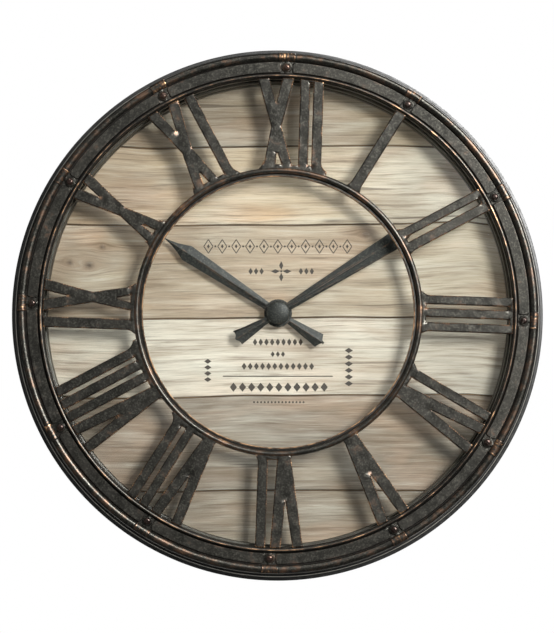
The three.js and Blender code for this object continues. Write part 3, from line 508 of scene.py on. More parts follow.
def bezel_section(angle):
    along = math.radians(hour_offset(angle))
    points = [(98.3, -24.3, 0.0), (105.1, -24.3, 0.0), (105.4, -24.6, 0.2), (105.4, -33.8, 0.0)]
    points += rim_points(angle, along)
    # The groove between the rim and the band is painted dark as shade.
    points += [(102.6, -36.85, -1.0), (102.4, -36.8, -1.0)]
    for i in range(30):
        radius = BAND_OUTER_R - (BAND_OUTER_R - BAND_INNER_R) * i / 29
        points.append((radius, *band_height(radius, along)))
    # The groove between the band and the bead is painted dark as shade.
    points += [(97.5, -37.0, -1.0), (97.3, -37.2, -0.8)]
    # The bead's crest gets a thin pale line, partly rubbed copper and partly a painted highlight; its flanks are
    # darker.
    rub_and_shine = noise.noise(Vector((angle * 0.35, 9.0, 1.0)))
    for i, (radius, y) in enumerate(arc(BEAD_R, BEAD_Y, BEAD_TUBE, -20, 200, 12)):
        points.append((radius, y, 1.1 * bell(6, 1.3, i) + 0.7 * rub_and_shine - 0.48))
    # The inner wall is painted dark as shade, and the lens seat's edge below it is paler as a painted highlight.
    points += [(95.65, -37.5, -0.6), (OPENING_R, -37.1, -0.2), (OPENING_R, -34.2, -0.1)]
    points += [(OPENING_R + 0.1, -33.6, 0.5), (95.5, -33.5, 0.2), (98.3, -33.5, 0.0)]
    return points


def bezel_angles():
    fine = [-2.6 + 5.2 * i / 60 for i in range(61)]
    coarse = [2.6 + 24.8 * i / 38 for i in range(1, 38)]
    return [hour * 30 + FRAME_TURN + offset for hour in range(12) for offset in fine + coarse]


def make_bezel():
    bezel = ring_piece("cast_frame", bezel_angles(), bezel_section)
    finish_piece(bezel, "case", CASTING, ["bezel"])


def make_rim_screws():
    """Small domed screws, each with its slot turned its own way."""
    seat = -38.05
    centre = at(SCREW_R, 0, 0)
    # A paler ring round each head's shoulder is a painted highlight; the head's underside is painted dark as
    # shade.
    profile = [(0, seat - 0.9, 0.1), (0.5, seat - 0.88, 0.1), (0.95, seat - 0.77, 0.15)]
    profile += [(1.25, seat - 0.5, 0.4), (1.42, seat - 0.2, 0.2), (1.45, seat - 0.02, -0.6)]
    profile += [(0.8, seat + 0.02, -0.8), (0.8, -33.6, 0), (0, -33.6, 0)]
    for hour in HOURS:
        screw = turned_piece("screw", profile, centre, 40)
        slot = block_piece("slot", (-0.2, seat - 1.2, -2), (0.2, seat - 0.5, 2))
        lift = Matrix.Translation(centre) @ Matrix.Rotation(random.uniform(0, math.pi), 4, "Y")
        slot.data.transform(lift @ Matrix.Translation(-HUB))
        carve(screw, [slot])
        turned = turned_copy(screw, f"rim_screw_head_{hour:02d}", hour * 30 + FRAME_TURN)
        bpy.data.objects.remove(screw)
        finish_piece(turned, "case", SCREW_BROWN, [f"rim_screw_{hour:02d}"])


# ------------------------------------------------------------------ numerals, ring and hands
def bright_edged_copy(source, name, bevel, edge_wear_and_shine, angle):
    """A copy of a CAD node with its front edges rounded and made pale, as rubbed paint and a painted highlight.
    """
    bm = bmesh.new()
    bm.from_mesh(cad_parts[source].data)
    bmesh.ops.remove_doubles(bm, verts=bm.verts, dist=0.002 * MM)
    bmesh.ops.dissolve_limit(bm, angle_limit=math.radians(1), verts=bm.verts, edges=bm.edges)
    bm.normal_update()
    wear_and_shading = bm.verts.layers.float.new("wear_and_shading")
    for vert in bm.verts:
        vert[wear_and_shading] = -0.15
    front = min(vert.co.y for vert in bm.verts)
    edges = [
        edge for edge in bm.edges
        if edge.calc_face_angle(0) > math.radians(angle) and all(v.co.y < front + 0.9 * MM for v in edge.verts)
    ]
    made = bmesh.ops.bevel(
        bm, geom=edges, offset=bevel * MM, offset_type="OFFSET", segments=2, profile=0.5, affect="EDGES",
        clamp_overlap=False,
    )
    # The rounded edges and the ridge get the pale tone, partly rubbed paint and partly a painted highlight.
    for vert in made["verts"]:
        vert[wear_and_shading] = edge_wear_and_shine
    facets = [face for face in bm.faces if face.normal.y < -0.3 and face.calc_area() > 6 * MM ** 2]
    bmesh.ops.inset_individual(bm, faces=facets, thickness=0.3 * MM, use_even_offset=True)
    for face in facets:
        for vert in face.verts:
            vert[wear_and_shading] = -0.05
    mesh = bpy.data.meshes.new(name)
    bm.to_mesh(mesh)
    bm.free()
    piece = bpy.data.objects.new(name, mesh)
    bpy.context.scene.collection.objects.link(piece)
    return piece


NUMERAL_FRONT_Y = -38.3
NUMERAL_BACK_Y = -35.0
NUMERAL_ROUNDING = 0.38


def front_outline(node):
    """The edges of a flat CAD node's front face, as pairs of (x, z) from the dial axis."""
    bm = bmesh.new()
    bm.from_mesh(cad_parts[node].data)
    bmesh.ops.remove_doubles(bm, verts=bm.verts, dist=0.002 * MM)
    front = min(vert.co.y for vert in bm.verts) + 0.01 * MM
    flat = {face for face in bm.faces if all(vert.co.y < front for vert in face.verts)}
    pairs = []
    for edge in bm.edges:
        if sum(face in flat for face in edge.link_faces) == 1:
            pairs.append([((v.co.x - HUB.x) / MM, (v.co.z - HUB.z) / MM) for v in edge.verts])
    bm.free()
    return np.array(pairs)


def join_ends(pairs):
    """Runs a numeral's ends into the ring and the bezel, as one casting has them."""
    radius = np.hypot(pairs[..., 0], pairs[..., 1])
    target = np.where(radius > 94.6, 95.6, np.where(radius < 59.2, 58.2, radius))
    return pairs * (target / radius)[..., None]


def split_edges(pairs, longest):
    parts = []
    for start, end in pairs:
        count = max(1, math.ceil(np.hypot(*(end - start)) / longest))
        steps = [start + (end - start) * k / count for k in range(count + 1)]
        parts += list(zip(steps, steps[1:]))
    return np.array(parts)


def distance_to(pairs, points):
    """How far each point lies from the nearest edge."""
    start, along = pairs[:, 0], pairs[:, 1] - pairs[:, 0]
    offset = points[:, None] - start[None]
    share = np.clip((offset * along).sum(2) / (along ** 2).sum(1), 0, 1)
    return np.linalg.norm(offset - share[..., None] * along[None], axis=2).min(1)


def is_inside(pairs, points):
    """Whether each point lies inside the outline, by counting the edges to its right."""
    (x1, z1), (x2, z2) = pairs[:, 0].T, pairs[:, 1].T
    x, z = points[:, :1], points[:, 1:]
    level = np.where(z2 == z1, 1e-12, z2 - z1)
    crossed = ((z1 > z) != (z2 > z)) & (x < (x2 - x1) * (z - z1) / level + x1)
    return crossed.sum(1) % 2 == 1


def fill_outline(pairs, points):
    """Triangles over the inside of the outline that use all the points."""
    keys = {}
    corners = [[keys.setdefault((round(x, 4), round(z, 4)), len(keys)) for x, z in pair] for pair in pairs]
    places = [Vector(key) for key in keys] + [Vector(point) for point in points]
    verts, _, faces, _, _, _ = delaunay_2d_cdt(places, corners, [], 0, 1e-5, False)
    flat = np.array([tuple(vert) for vert in verts])
    centres = np.array([flat[list(face)].mean(0) for face in faces])
    kept = is_inside(pairs, centres)
    return flat, [tuple(face) for face, keep in zip(faces, kept) if keep]


def inset_points(pairs, depths):
    """Points that follow the outline a little way inside it, and a coarse net further in."""
    middle = pairs.mean(1)
    along = pairs[:, 1] - pairs[:, 0]
    normal = np.stack([-along[:, 1], along[:, 0]], 1) / np.linalg.norm(along, axis=1)[:, None]
    rows = []
    for depth in depths:
        for side in (-1, 1):
            row = middle + normal * depth * side
            rows.append(row[is_inside(pairs, row) & (distance_to(pairs, row) > 0.93 * depth)])
    low, high = pairs.min((0, 1)), pairs.max((0, 1))
    net = np.array([(x, z) for x in np.arange(low[0], high[0], 1.5) for z in np.arange(low[1], high[1], 1.5)])
    net = net[is_inside(pairs, net)]
    rows.append(net[distance_to(pairs, net) > depths[-1] + 0.6])
    return np.concatenate(rows)


def cast_plate(name, pairs):
    """A flat casting with softly rounded front edges over the given outline."""
    pairs = split_edges(pairs, 1.1)
    flat, faces = fill_outline(pairs, inset_points(pairs, (0.07, 0.2, 0.42, 0.9)))
    depth = distance_to(pairs, flat)
    drop = 1 - np.minimum(depth / NUMERAL_ROUNDING, 1)
    heights = NUMERAL_FRONT_Y + NUMERAL_ROUNDING * (1 - np.sqrt(1 - drop ** 2))
    places, wear_and_shading = [], []
    for (x, z), y, d in zip(flat, heights, depth):
        hollow = noise.noise(Vector((x * 0.25, z * 0.25, 1.0)))
        places.append(on_dial(x, z, y + (0.05 * hollow if d > 0.5 else 0.0)))
        wear_and_shading.append(0.72 * bell(0.12, 0.22, d) + 0.16 * hollow)
    bm = bmesh.new()
    layer = bm.verts.layers.float.new("wear_and_shading")
    verts = [bm.verts.new(place) for place in places]
    for vert, wear_shading in zip(verts, wear_and_shading):
        vert[layer] = wear_shading
    for face in faces:
        bm.faces.new([verts[i] for i in face])
    rim = [edge for edge in bm.edges if edge.is_boundary]
    made = bmesh.ops.extrude_edge_only(bm, edges=rim)["geom"]
    for item in made:
        if isinstance(item, bmesh.types.BMVert):
            item.co.y = NUMERAL_BACK_Y * MM
            item[layer] = -0.15
    under, under_faces = fill_outline(pairs, np.zeros((0, 2)))
    below = [bm.verts.new(on_dial(x, z, NUMERAL_BACK_Y)) for x, z in under]
    for face in under_faces:
        bm.faces.new([below[i] for i in reversed(face)])
    bmesh.ops.remove_doubles(bm, verts=bm.verts, dist=0.002 * MM)
    bmesh.ops.delete(bm, geom=[vert for vert in bm.verts if not vert.link_faces], context="VERTS")
    mesh = bpy.data.meshes.new(name)
    bm.to_mesh(mesh)
    bm.free()
    piece = bpy.data.objects.new(name, mesh)
    bpy.context.scene.collection.objects.link(piece)
    return piece


def make_numerals():
    for hour in HOURS:
        node = f"numeral_{hour:02d}"
        piece = cast_plate(f"cast_{node}", join_ends(front_outline(node)))
        finish_piece(piece, "case", CASTING, [node])


def ring_section(angle):
    rub_and_shine = noise.noise(Vector((angle * 0.1, 4.0, 7.0)))
    points = [(58.75, -35.0, 0.0), (58.85, -35.2, 0.3), (58.85, -37.4, -0.1)]
    crest = arc(57.6, -37.7, 1.1, 10, 170, 12)
    # Two paler lines along the crest, partly rubbed copper and partly painted highlights.
    for i, (radius, y) in enumerate(crest):
        points.append((radius, y, 0.12 + 0.3 * bell(3, 2.0, i) + 0.3 * bell(10, 1.5, i) + 0.5 * rub_and_shine))
    # A groove painted dark as shade, then a pale line on the inner lip, partly rubbed copper and partly a
    # painted highlight.
    points += [(56.4, -37.3, -0.7), (56.25, -37.0, -0.8), (55.7, -37.1, 0.1), (55.35, -37.08, 0.7)]
    points += [(55.15, -36.9, 0.8), (55.1, -36.6, 0.2), (55.1, -35.3, 0.0), (55.3, -35.0, 0.0)]
    return points


def make_ring():
    ring = ring_piece("cast_inner_ring", even_angles(360), ring_section)
    finish_piece(ring, "case", CASTING, ["inner_ring"])


def make_hands():
    hour = bright_edged_copy("hour_hand", "leaf_hour_hand", 0.12, 0.6, 12)
    finish_piece(hour, "hour", HAND_BLACK, ["hour_hand"], sharp=25)
    minute = bright_edged_copy("minute_hand", "leaf_minute_hand", 0.12, 0.6, 12)
    finish_piece(minute, "minute", HAND_BLACK, ["minute_hand"], sharp=25)
    dome = [(0, -30.8, 0.1), (0.9, -30.78, 0.1), (1.8, -30.7, 0.1), (2.7, -30.55, 0.1), (3.5, -30.35, 0.15)]
    # The cap's rim is a little paler; its underside is faintly painted dark as shade.
    dome += [(4.2, -30.08, 0.3), (4.6, -29.82, 0.4), (4.8, -29.6, 0.2), (4.78, -29.35, -0.3), (4.6, -29.3, -0.3)]
    dome += [(1.3, -29.3, 0), (1.3, -30.2, 0), (0, -30.2, 0)]
    cap = turned_piece("domed_hand_cap", dome, HUB, 72)
    finish_piece(cap, "minute", HAND_BLACK, ["hand_cap"])


# ------------------------------------------------------------------ dial
PLANK_JOINTS = (69.3, 37.0, -1.7, -34.0, -73.0)
PLANK_EDGE_R = 100.8
PLANK_Y = -21.25
PLANK_FOOT_Y = -20.9
HOLE_R = 4.4
# The darker top plank, darkest at its left, and the darker ends of the lowest plank are partly painted shade.
PLANK_TONES_WITH_SHADE = (  # left, middle and right of each plank, from the top
    (srgb(146, 134, 116), srgb(158, 145, 126), srgb(184, 171, 148)),
    (srgb(186, 164, 138), srgb(216, 196, 168), srgb(222, 214, 198)),
    (srgb(170, 152, 130), srgb(186, 169, 147), srgb(204, 190, 168)),
    (srgb(226, 216, 199), srgb(222, 213, 198), srgb(208, 198, 182)),
    (srgb(146, 134, 120), srgb(142, 131, 118), srgb(144, 132, 118)),
    (srgb(134, 122, 107), srgb(162, 150, 134), srgb(126, 114, 99)),
)
# Soft patches in the planks' tone: the pale and orange ones are stains, and the dark brown ones are partly
# painted shadow patches.
STAINS_AND_SHADE_PATCHES = (  # x, z, half length, half height, colour, amount
    (-8, 41, 20, 4.5, srgb(214, 166, 118), 0.6),
    (-60, 50, 14, 9, srgb(150, 118, 92), 0.5),
    (50, 84, 20, 5, srgb(176, 150, 112), 0.5),
    (34, 34, 9, 3, srgb(104, 84, 66), 0.7),
    (23, 38.4, 6, 0.8, srgb(60, 46, 36), 0.9),
    (-78, 33, 9, 6, srgb(214, 172, 138), 0.5),
    (-72, 14, 16, 5, srgb(226, 214, 190), 0.5),
    (-62, 4, 14, 2.5, srgb(178, 146, 112), 0.6),
    (36, -20, 16, 5, srgb(170, 156, 136), 0.5),
    (-40, -22, 30, 6, srgb(222, 218, 206), 0.4),
    (30, -40, 20, 5, srgb(122, 104, 84), 0.5),
    (70, -44, 14, 5, srgb(208, 198, 180), 0.5),
    (-30, -52, 26, 6, srgb(150, 132, 110), 0.4),
    (8, -66, 22, 5, srgb(200, 188, 168), 0.4),
    (44, -54, 12, 5, srgb(150, 132, 112), 0.4),
)
KNOTS = ((-78, 20.5, 2.2), (-86, 21.7, 1.6), (-72.5, 28, 1.4), (36, 32.6, 2.0), (40, 62, 1.2))


def blend(first, second, amount):
    return tuple(a + (b - a) * amount for a, b in zip(first, second))


def plank_tone(index, x, z):
    left, middle, right = PLANK_TONES_WITH_SHADE[index]
    tone = blend(left, middle, smooth(-75, 0, x)) if x < 0 else blend(middle, right, smooth(0, 75, x))
    # Blend in the stains and the painted shadow patches.
    for patch_x, patch_z, length, height, colour, amount in STAINS_AND_SHADE_PATCHES:
        reach = math.hypot((x - patch_x) / length, (z - patch_z) / height)
        tone = blend(tone, colour, amount * (1 - smooth(0.2, 1.3, reach)))
    cloud = noise.fractal(Vector((x / 34 + index * 7, z / 9, 2.0)), 1.0, 2.0, 3)
    tone = blend(tone, srgb(150, 132, 110), max(0.0, cloud) * 0.55)
    tone = blend(tone, srgb(230, 224, 210), max(0.0, -cloud) * 0.4)
    for knot_x, knot_z, size in KNOTS:
        reach = math.hypot((x - knot_x) / 1.3, z - knot_z) / size
        tone = blend(tone, srgb(150, 122, 96), 0.55 * bell(0, 1.9, reach))
        tone = blend(tone, srgb(58, 44, 36), 0.9 * bell(0, 0.62, reach))
    return (*tone[:3], 1.0)


def grain_run(index, x, z):
    """Where a point lies across the grain, which flows round the knots."""
    across = z
    for knot_x, knot_z, size in KNOTS:
        dx, dz = (x - knot_x) * 0.55, z - knot_z
        across -= dz * 1.6 * size ** 2 / (dx * dx + dz * dz + size ** 2)
    across += 0.5 * noise.noise(Vector((x / 26 + index * 3, z / 30, 8.0)))
    return (x * MM + index * 0.37, index * 5.0, across * MM)


def plank_rows(high, low):
    """Heights across a plank, close together at its rounded edges."""
    count = round((high - low) / 1.1)
    middle = [high - 0.4 + (low - high + 0.8) * i / count for i in range(count + 1)]
    return [high, high - 0.15] + middle + [low + 0.15, low]


def sway(x, z):
    """How far the planks' joints wander from straight and level, up to the bezel."""
    drift = 0.011 * x + 0.7 * noise.noise(Vector((x / 32, z / 50, 6.0)))
    return drift * (1 - smooth(84, 97, math.hypot(x, z))) * smooth(5, 9, math.hypot(x, z))


def make_plank(index, high, low):
    rows = plank_rows(high, low)
    columns = 170
    places, wear_and_shading, tones, grains, inside = [], [], [], [], []
    for i, z in enumerate(rows):
        half = math.sqrt(PLANK_EDGE_R ** 2 - z * z)
        edge = min(i, len(rows) - 1 - i)
        y = PLANK_Y + (0.2, 0.05, 0.0)[min(edge, 2)]
        for j in range(columns + 1):
            x = half * (2 * j / columns - 1)
            tones.append(plank_tone(index, x, z))
            grains.append(grain_run(index, x, z))
            wear_and_shading.append((-1.0, -0.8, -0.25)[edge] if edge < 3 else 0.0)
            radius = math.hypot(x, z)
            inside.append(radius < HOLE_R)
            push = HOLE_R / radius if radius < HOLE_R else 1.0
            places.append(on_dial(x * push, z * push + sway(x, z), y))
    faces = []
    for i in range(len(rows) - 1):
        for j in range(columns):
            a = i * (columns + 1) + j
            corners = (a, a + 1, a + columns + 2, a + columns + 1)
            if not all(inside[corner] for corner in corners):
                faces.append(corners)
    piece = new_piece(f"dial_plank_{index + 1}", places, faces, wear_and_shading)
    add_attribute(piece.data, "tone", "FLOAT_COLOR", tones)
    add_attribute(piece.data, "grain", "FLOAT_VECTOR", grains)

    def close_back(bm):
        loose = [vert for vert in bm.verts if not vert.link_faces]
        bmesh.ops.delete(bm, geom=loose, context="VERTS")
        rim = [edge for edge in bm.edges if edge.is_boundary]
        made = bmesh.ops.extrude_edge_only(bm, edges=rim)["geom"]
        for vert in made:
            if isinstance(vert, bmesh.types.BMVert):
                vert.co.y = PLANK_FOOT_Y * MM
        bmesh.ops.edgeloop_fill(bm, edges=[edge for edge in bm.edges if edge.is_boundary])

    edit_mesh(piece, close_back)
    finish_piece(piece, "case", WOOD)


def make_planks():
    limits = (PLANK_EDGE_R - 0.15, *PLANK_JOINTS, -PLANK_EDGE_R + 0.15)
    for index in range(6):
        make_plank(index, limits[index] - 0.14, limits[index + 1] + 0.14)


def lozenge(x, z, half_width, half_height):
    return [(x - half_width, z), (x, z + half_height), (x + half_width, z), (x, z - half_height)]


def rule(x, z, half_length, half_height):
    return [
        (x - half_length, z - half_height), (x - half_length, z + half_height),
        (x + half_length, z + half_height), (x + half_length, z - half_height),
    ]


def dot(x, z, radius):
    turns = [k * math.pi / 8 for k in range(16)]
    return [(x + radius * math.sin(turn), z + radius * math.cos(turn)) for turn in turns]


def upright(outlines, x, z):
    """The outlines turned a quarter turn and moved to run up the dial at (x, z)."""
    return [[(x - across, z + along) for along, across in outline] for outline in outlines]


def lozenge_frame(x, z, half_width, half_height, line):
    """A hollow lozenge, as four bars that just miss each other at its points."""
    inner = (half_width - line, half_height - line * half_height / half_width)
    bars = []
    for side_x in (-1, 1):
        for side_z in (-1, 1):
            bars.append([
                (x + side_x * half_width, z + side_z * 0.04), (x + side_x * 0.04, z + side_z * half_height),
                (x + side_x * 0.04, z + side_z * inner[1]), (x + side_x * inner[0], z + side_z * 0.04),
            ])
    return bars


def ornament_row(x, z, half_length, half_height, count, line=0.45):
    """A border of hollow lozenges with dots between them."""
    outlines = []
    pitch = 2 * half_length / count
    for i in range(count):
        middle = x - half_length + pitch * (i + 0.5)
        outlines += lozenge_frame(middle, z, pitch * 0.36, half_height, line)
        outlines.append(lozenge(middle, z, pitch * 0.1, half_height * 0.3))
        if i:
            outlines.append(dot(middle - pitch / 2, z, min(0.42, half_height * 0.22)))
    return outlines


def solid_row(x, z, half_length, half_height, count):
    pitch = 2 * half_length / count
    return [lozenge(x - half_length + pitch * (i + 0.5), z, pitch * 0.4, half_height) for i in range(count)]


def dot_row(x, z, half_length, radius, count):
    return [dot(x - half_length + 2 * half_length * i / (count - 1), z, radius) for i in range(count)]


def rosette(x, z, size):
    outlines = []
    for turn in range(4):
        c, s = ((1, 0), (0, 1), (-1, 0), (0, -1))[turn]
        petal = lozenge(0, size * 0.55, size * 0.2, size * 0.42)
        outlines.append([(x + px * c - pz * s, z + px * s + pz * c) for px, pz in petal])
    return outlines + [dot(x, z, size * 0.1)]


def make_ornament():
    """Printed rules, lozenges and dots where a dial of this kind carries its printing."""
    outlines = ornament_row(0, 27.9, 31.6, 3.1, 11)
    outlines += rosette(1.4, 17.6, 4.4) + solid_row(-9, 17.6, 3.4, 1.4, 3) + solid_row(11.8, 17.6, 3.4, 1.4, 3)
    outlines += solid_row(0, -11.7, 10.6, 1.5, 9) + solid_row(0, -16.7, 3.2, 1.2, 3)
    outlines += solid_row(0, -21.7, 15.2, 1.5, 12)
    outlines += [rule(0, -25.8, 22.7, 0.22)]
    outlines += solid_row(0.4, -30.3, 20.6, 1.9, 11) + dot_row(0.4, -36.5, 10.2, 0.42, 15)
    outlines += upright(solid_row(0, 0, 5.0, 1.5, 4), -28.9, -23.4)
    outlines += upright(solid_row(0, 0, 8.2, 1.7, 6), 29.3, -22.0)
    places, faces = [], []
    for outline in outlines:
        start, count = len(places), len(outline)
        places += [on_dial(x, z, PLANK_Y - 0.035) for x, z in outline]
        places += [on_dial(x, z, PLANK_Y + 0.03) for x, z in outline]
        faces.append(tuple(range(start, start + count)))
        faces.append(tuple(range(start + 2 * count - 1, start + count - 1, -1)))
        for i in range(count):
            k = (i + 1) % count
            faces.append((start + k, start + i, start + count + i, start + count + k))
    finish_piece(new_piece("dial_ornament", places, faces), "case", INK)


# ------------------------------------------------------------------ lens, spacer and rear case
def make_lens():
    outline = [(0.0, -33.2), (98.0, -33.2), (98.0, -31.3), (0.0, -31.3)]
    lens = turned_piece("flat_lens", soften(outline, 0.35, 0.0, closed=False), HUB, 240)
    finish_piece(lens, "case", GLASS, ["lens"])


def make_spacer():
    outline = [(94.8, -31.0), (98.0, -31.0), (98.0, -21.35), (94.8, -21.35)]
    outline += [(94.8, -25.0), (95.2, -25.3), (95.2, -27.0), (94.8, -27.3)]
    section = soften(outline, 0.3, 0.4)
    spacer = ring_piece("inner_wall", even_angles(300), lambda angle: section)
    finish_piece(spacer, "case", SPACER_GREY, ["spacer_ring"])


def flange_front(radius):
    """Height of the flange's front, which carries one fine ridge."""
    slope = -20.3 + (radius - 106.9) * 0.3
    return slope - 0.6 * bell(108.15, 0.3, radius)


def make_rear_case():
    dish = [(99, 0), (99, -17.9), (101.3, -17.9), (101.3, -24), (106.9, -24), (106.9, -20.9)]
    # Rounded corners are made pale, partly worn edges and partly painted highlight lines.
    inside = soften(dish, 0.22, 0.95, False)
    flange = []
    for i in range(27):
        radius = 106.9 + 2.6 * i / 26
        # A pale line along the flange's ridge is a painted highlight.
        wear_shading = 1.1 * bell(108.2, 0.22, radius) - 0.4 * bell(107.2, 0.3, radius)
        flange.append((radius, flange_front(radius), wear_shading))
    outer = [(109.6, -19.5), (110, -18.7), (110, -16), (108.8, -14.8)]
    outer += [(107.5, -14.4), (107.5, -1.5), (106, 0), (99, 0)]
    # These rounded corners are also made pale, partly wear and partly painted highlight.
    edge = soften(outer, 0.35, 0.5, False)
    section = inside + flange + edge[:-1]
    case = ring_piece("moulded_rear_case", even_angles(360), lambda angle: section)
    cutters = []
    for angle in (45, 135, 225, 315):
        for radius, front in ((1.45, -32.6), (2.25, -2.6)):
            profile = [(0, front, 0), (radius, front, 0), (radius, 1, 0), (0, 1, 0)]
            cutters.append(turned_piece("hole", profile, at(103.3, angle, 0), 24))
    cutters.append(block_piece("pocket", (-19.3, -1.7, 80), (19.3, 1, 102.9)))
    for side in (-1, 1):
        profile = [(0, -9.6, 0), (1.4, -9.6, 0), (1.4, 1, 0), (0, 1, 0)]
        cutters.append(turned_piece("hole", profile, on_dial(side * 14.5, 100.4, 0), 20))
    carve(case, cutters)
    finish_piece(case, "case", CASE_BLACK, ["rear_case"])


def make_back_screws():
    """Pan-head screws that close the case, and countersunk ones on the hanger plate."""
    pan = [(0, -0.9, 0.3), (1.2, -0.95, 0.3), (1.75, -1.2, 0.5), (1.9, -1.6, 0.5), (1.9, -2.3, 0)]
    pan += [(1.15, -2.35, 0), (1.15, -30, 0), (0.85, -31, 0), (0, -31, 0)]
    sunk = [(0, -0.3, 0.2), (1.85, -0.32, 0.4), (2.0, -0.42, 0.5), (1.1, -1.25, 0)]
    sunk += [(1.1, -8.2, 0), (0.7, -9, 0), (0, -9, 0)]
    jobs = [(f"case_screw_{i + 1}", pan, at(103.3, 45 + 90 * i, 0), -1.7) for i in range(4)]
    jobs += [("hanger_screw_left", sunk, on_dial(14.5, 100.4, 0), -1.0)]
    jobs += [("hanger_screw_right", sunk, on_dial(-14.5, 100.4, 0), -1.0)]
    for node, profile, centre, depth in jobs:
        screw = turned_piece(f"{node}_turned", profile, centre, 36)
        turn = random.uniform(0, math.pi / 2)
        cross = []
        for quarter in (0, math.pi / 2):
            bar = block_piece("bar", (-0.22, depth, -1.25), (0.22, 0.5, 1.25))
            place = Matrix.Translation(centre) @ Matrix.Rotation(turn + quarter, 4, "Y")
            bar.data.transform(place @ Matrix.Translation(-HUB))
            cross.append(bar)
        carve(screw, cross)
        finish_piece(screw, "case", STEEL, [node])


def make_cell():
    """The battery: a printed jacket rolled over a bright steel can."""
    low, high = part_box("cell")
    axis = Vector((0, (low.y + high.y) / 2, (low.z + high.z) / 2))
    left, right = low.x / MM, high.x / MM
    can = [(0, left, 0), (5.2, left, 0), (5.5, left + 0.3, 0), (6.9, left + 0.35, 0.3), (6.9, right - 2.0, 0)]
    can += [(6.3, right - 1.72, 0.3), (3.4, right - 1.72, 0), (2.9, right - 1.5, 0)]
    can += [(2.75, right - 0.4, 0.3), (2.5, right, 0.4), (0, right, 0)]
    body = turned_piece("cell_can", can, axis, 56, "X")
    finish_piece(body, "cell", STEEL, ["cell"])
    sleeve = [(6.5, left + 0.2), (6.85, left + 0.05), (7.05, left + 0.4), (7.05, right - 2.3)]
    sleeve += [(6.75, right - 1.75), (6.45, right - 1.69), (6.5, right - 2.2)]
    jacket = turned_piece("cell_sleeve", [(r, h, 0.2) for r, h in sleeve + sleeve[:1]], axis, 56, "X")
    finish_piece(jacket, "cell", jacket_finish(low.x, high.x))


CARRIED_OVER = {  # CAD nodes whose shape is right: material and edge rounding
    "hanger_plate": (STEEL, 0.2), "dial_board": (FIBRE, 0.0), "minute_arbor": (BRASS, 0.05),
    "hour_wheel": (NYLON, 0.0), "reduction_wheel": (NYLON, 0.0), "setting_knob": (MOULDING, 0.12),
    "centre_drive_wheel": (NYLON, 0.0), "third_wheel": (NYLON, 0.0), "seconds_wheel": (NYLON, 0.0),
    "intermediate_wheel": (NYLON, 0.0), "rotor": (STEEL, 0.0), "stator": (STEEL, 0.08), "coil": (WINDING, 0.08),
    "circuit_board": (BOARD, 0.08), "movement_case": (MOULDING, 0.25), "movement_cover": (MOULDING, 0.2),
    "tube_nut": (BRASS, 0.15), "rubber_washer": (RUBBER, 0.15), "positive_contact": (STEEL, 0.05),
    "negative_contact": (STEEL, 0.05),
}


def finish_cad_nodes():
    for name, (material, rounding) in CARRIED_OVER.items():
        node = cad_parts[name]
        node.data.materials.clear()
        node.data.materials.append(material)
        if rounding:
            weld = node.modifiers.new("weld", "WELD")
            weld.merge_threshold = 0.002 * MM
            bevel = node.modifiers.new("rounding", "BEVEL")
            bevel.width = rounding * MM
            bevel.segments = 2
            bevel.limit_method = "ANGLE"
            bevel.angle_limit = math.radians(50)


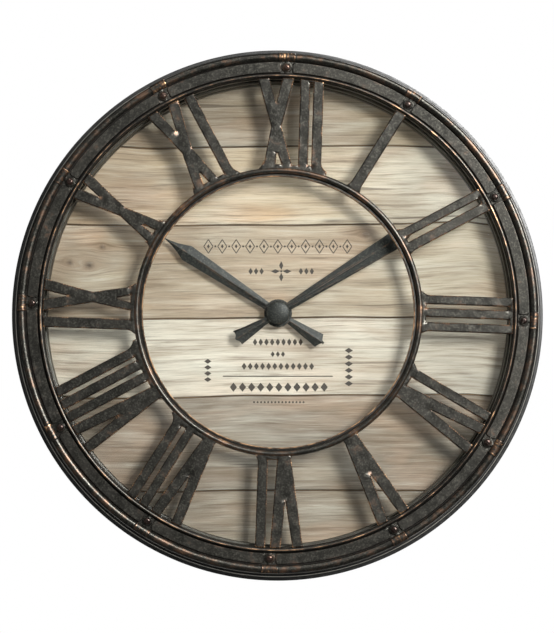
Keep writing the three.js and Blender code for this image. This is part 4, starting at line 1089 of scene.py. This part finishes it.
# ------------------------------------------------------------------ studio
def make_studio():
    scene = bpy.context.scene
    scene.view_settings.view_transform = "Standard"
    world = bpy.data.worlds.new("studio")
    scene.world = world
    world.use_nodes = True
    nodes, links = world.node_tree.nodes, world.node_tree.links
    ambient = nodes["Background"]
    ambient.inputs["Color"].default_value = (0.95, 0.97, 1.0, 1)
    ambient.inputs["Strength"].default_value = 0.56
    dim = nodes.new("ShaderNodeBackground")
    dim.inputs["Color"].default_value = (0.95, 0.97, 1.0, 1)
    dim.inputs["Strength"].default_value = 0.025
    by_gloss = nodes.new("ShaderNodeMixShader")
    backdrop = nodes.new("ShaderNodeBackground")
    backdrop.inputs["Color"].default_value = (1, 1, 1, 1)
    seen = nodes.new("ShaderNodeLightPath")
    blender = nodes.new("ShaderNodeMixShader")
    links.new(seen.outputs["Is Camera Ray"], blender.inputs[0])
    links.new(seen.outputs["Is Glossy Ray"], by_gloss.inputs[0])
    links.new(ambient.outputs[0], by_gloss.inputs[1])
    links.new(dim.outputs[0], by_gloss.inputs[2])
    links.new(by_gloss.outputs[0], blender.inputs[1])
    links.new(backdrop.outputs[0], blender.inputs[2])
    links.new(blender.outputs[0], nodes["World Output"].inputs["Surface"])

    floor_z = HUB.z - 1.1
    corners = [(-2, -2, floor_z), (2, -2, floor_z), (2, 2, floor_z), (-2, 2, floor_z)]
    floor = new_piece("floor", corners, [(0, 1, 2, 3)])
    floor.data.materials.append(plain_finish("floor_paper", srgb(236, 236, 234), srgb(242, 242, 240), 60, 0.8))
    floor.visible_glossy = False

    softbox("key", 21, 11, 2.2, 0.5, 48).visible_glossy = False
    softbox("sheen", 32, 22, 2.2, 1.0, 150).visible_diffuse = False
    softbox("top", -20, 56, 2.0, 0.9, 9)
    softbox("left", -62, 6, 2.0, 1.0, 2.0)
    softbox("back", 150, 30, 2.0, 1.2, 25)


def softbox(name, azimuth, elevation, distance, size, power):
    """A square light, seen from the dial at an azimuth to the right and a height in degrees."""
    light = bpy.data.lights.new(name, "AREA")
    light.size = size
    light.energy = power
    a, e = math.radians(azimuth), math.radians(elevation)
    direction = Vector((math.sin(a) * math.cos(e), -math.cos(a) * math.cos(e), math.sin(e)))
    lamp = bpy.data.objects.new(name, light)
    lamp.location = HUB + direction * distance
    lamp.rotation_euler = direction.to_track_quat("Z", "Y").to_euler()
    bpy.context.scene.collection.objects.link(lamp)
    return lamp


def make_camera():
    camera = bpy.data.cameras.new("camera")
    camera.sensor_width = 36
    camera.lens = 131.7
    eye = bpy.data.objects.new("camera", camera)
    eye.location = HUB + Vector((-13.25, -976.8, -47.6)) * MM
    eye.rotation_euler = (math.pi / 2 + 0.0486, 0, -0.0135)
    bpy.context.scene.collection.objects.link(eye)
    bpy.context.scene.camera = eye


make_camera()
make_studio()
make_bezel()
make_rim_screws()
make_numerals()
make_ring()
make_hands()
make_planks()
make_ornament()
make_lens()
make_spacer()
make_rear_case()
make_back_screws()
make_cell()
finish_cad_nodes()
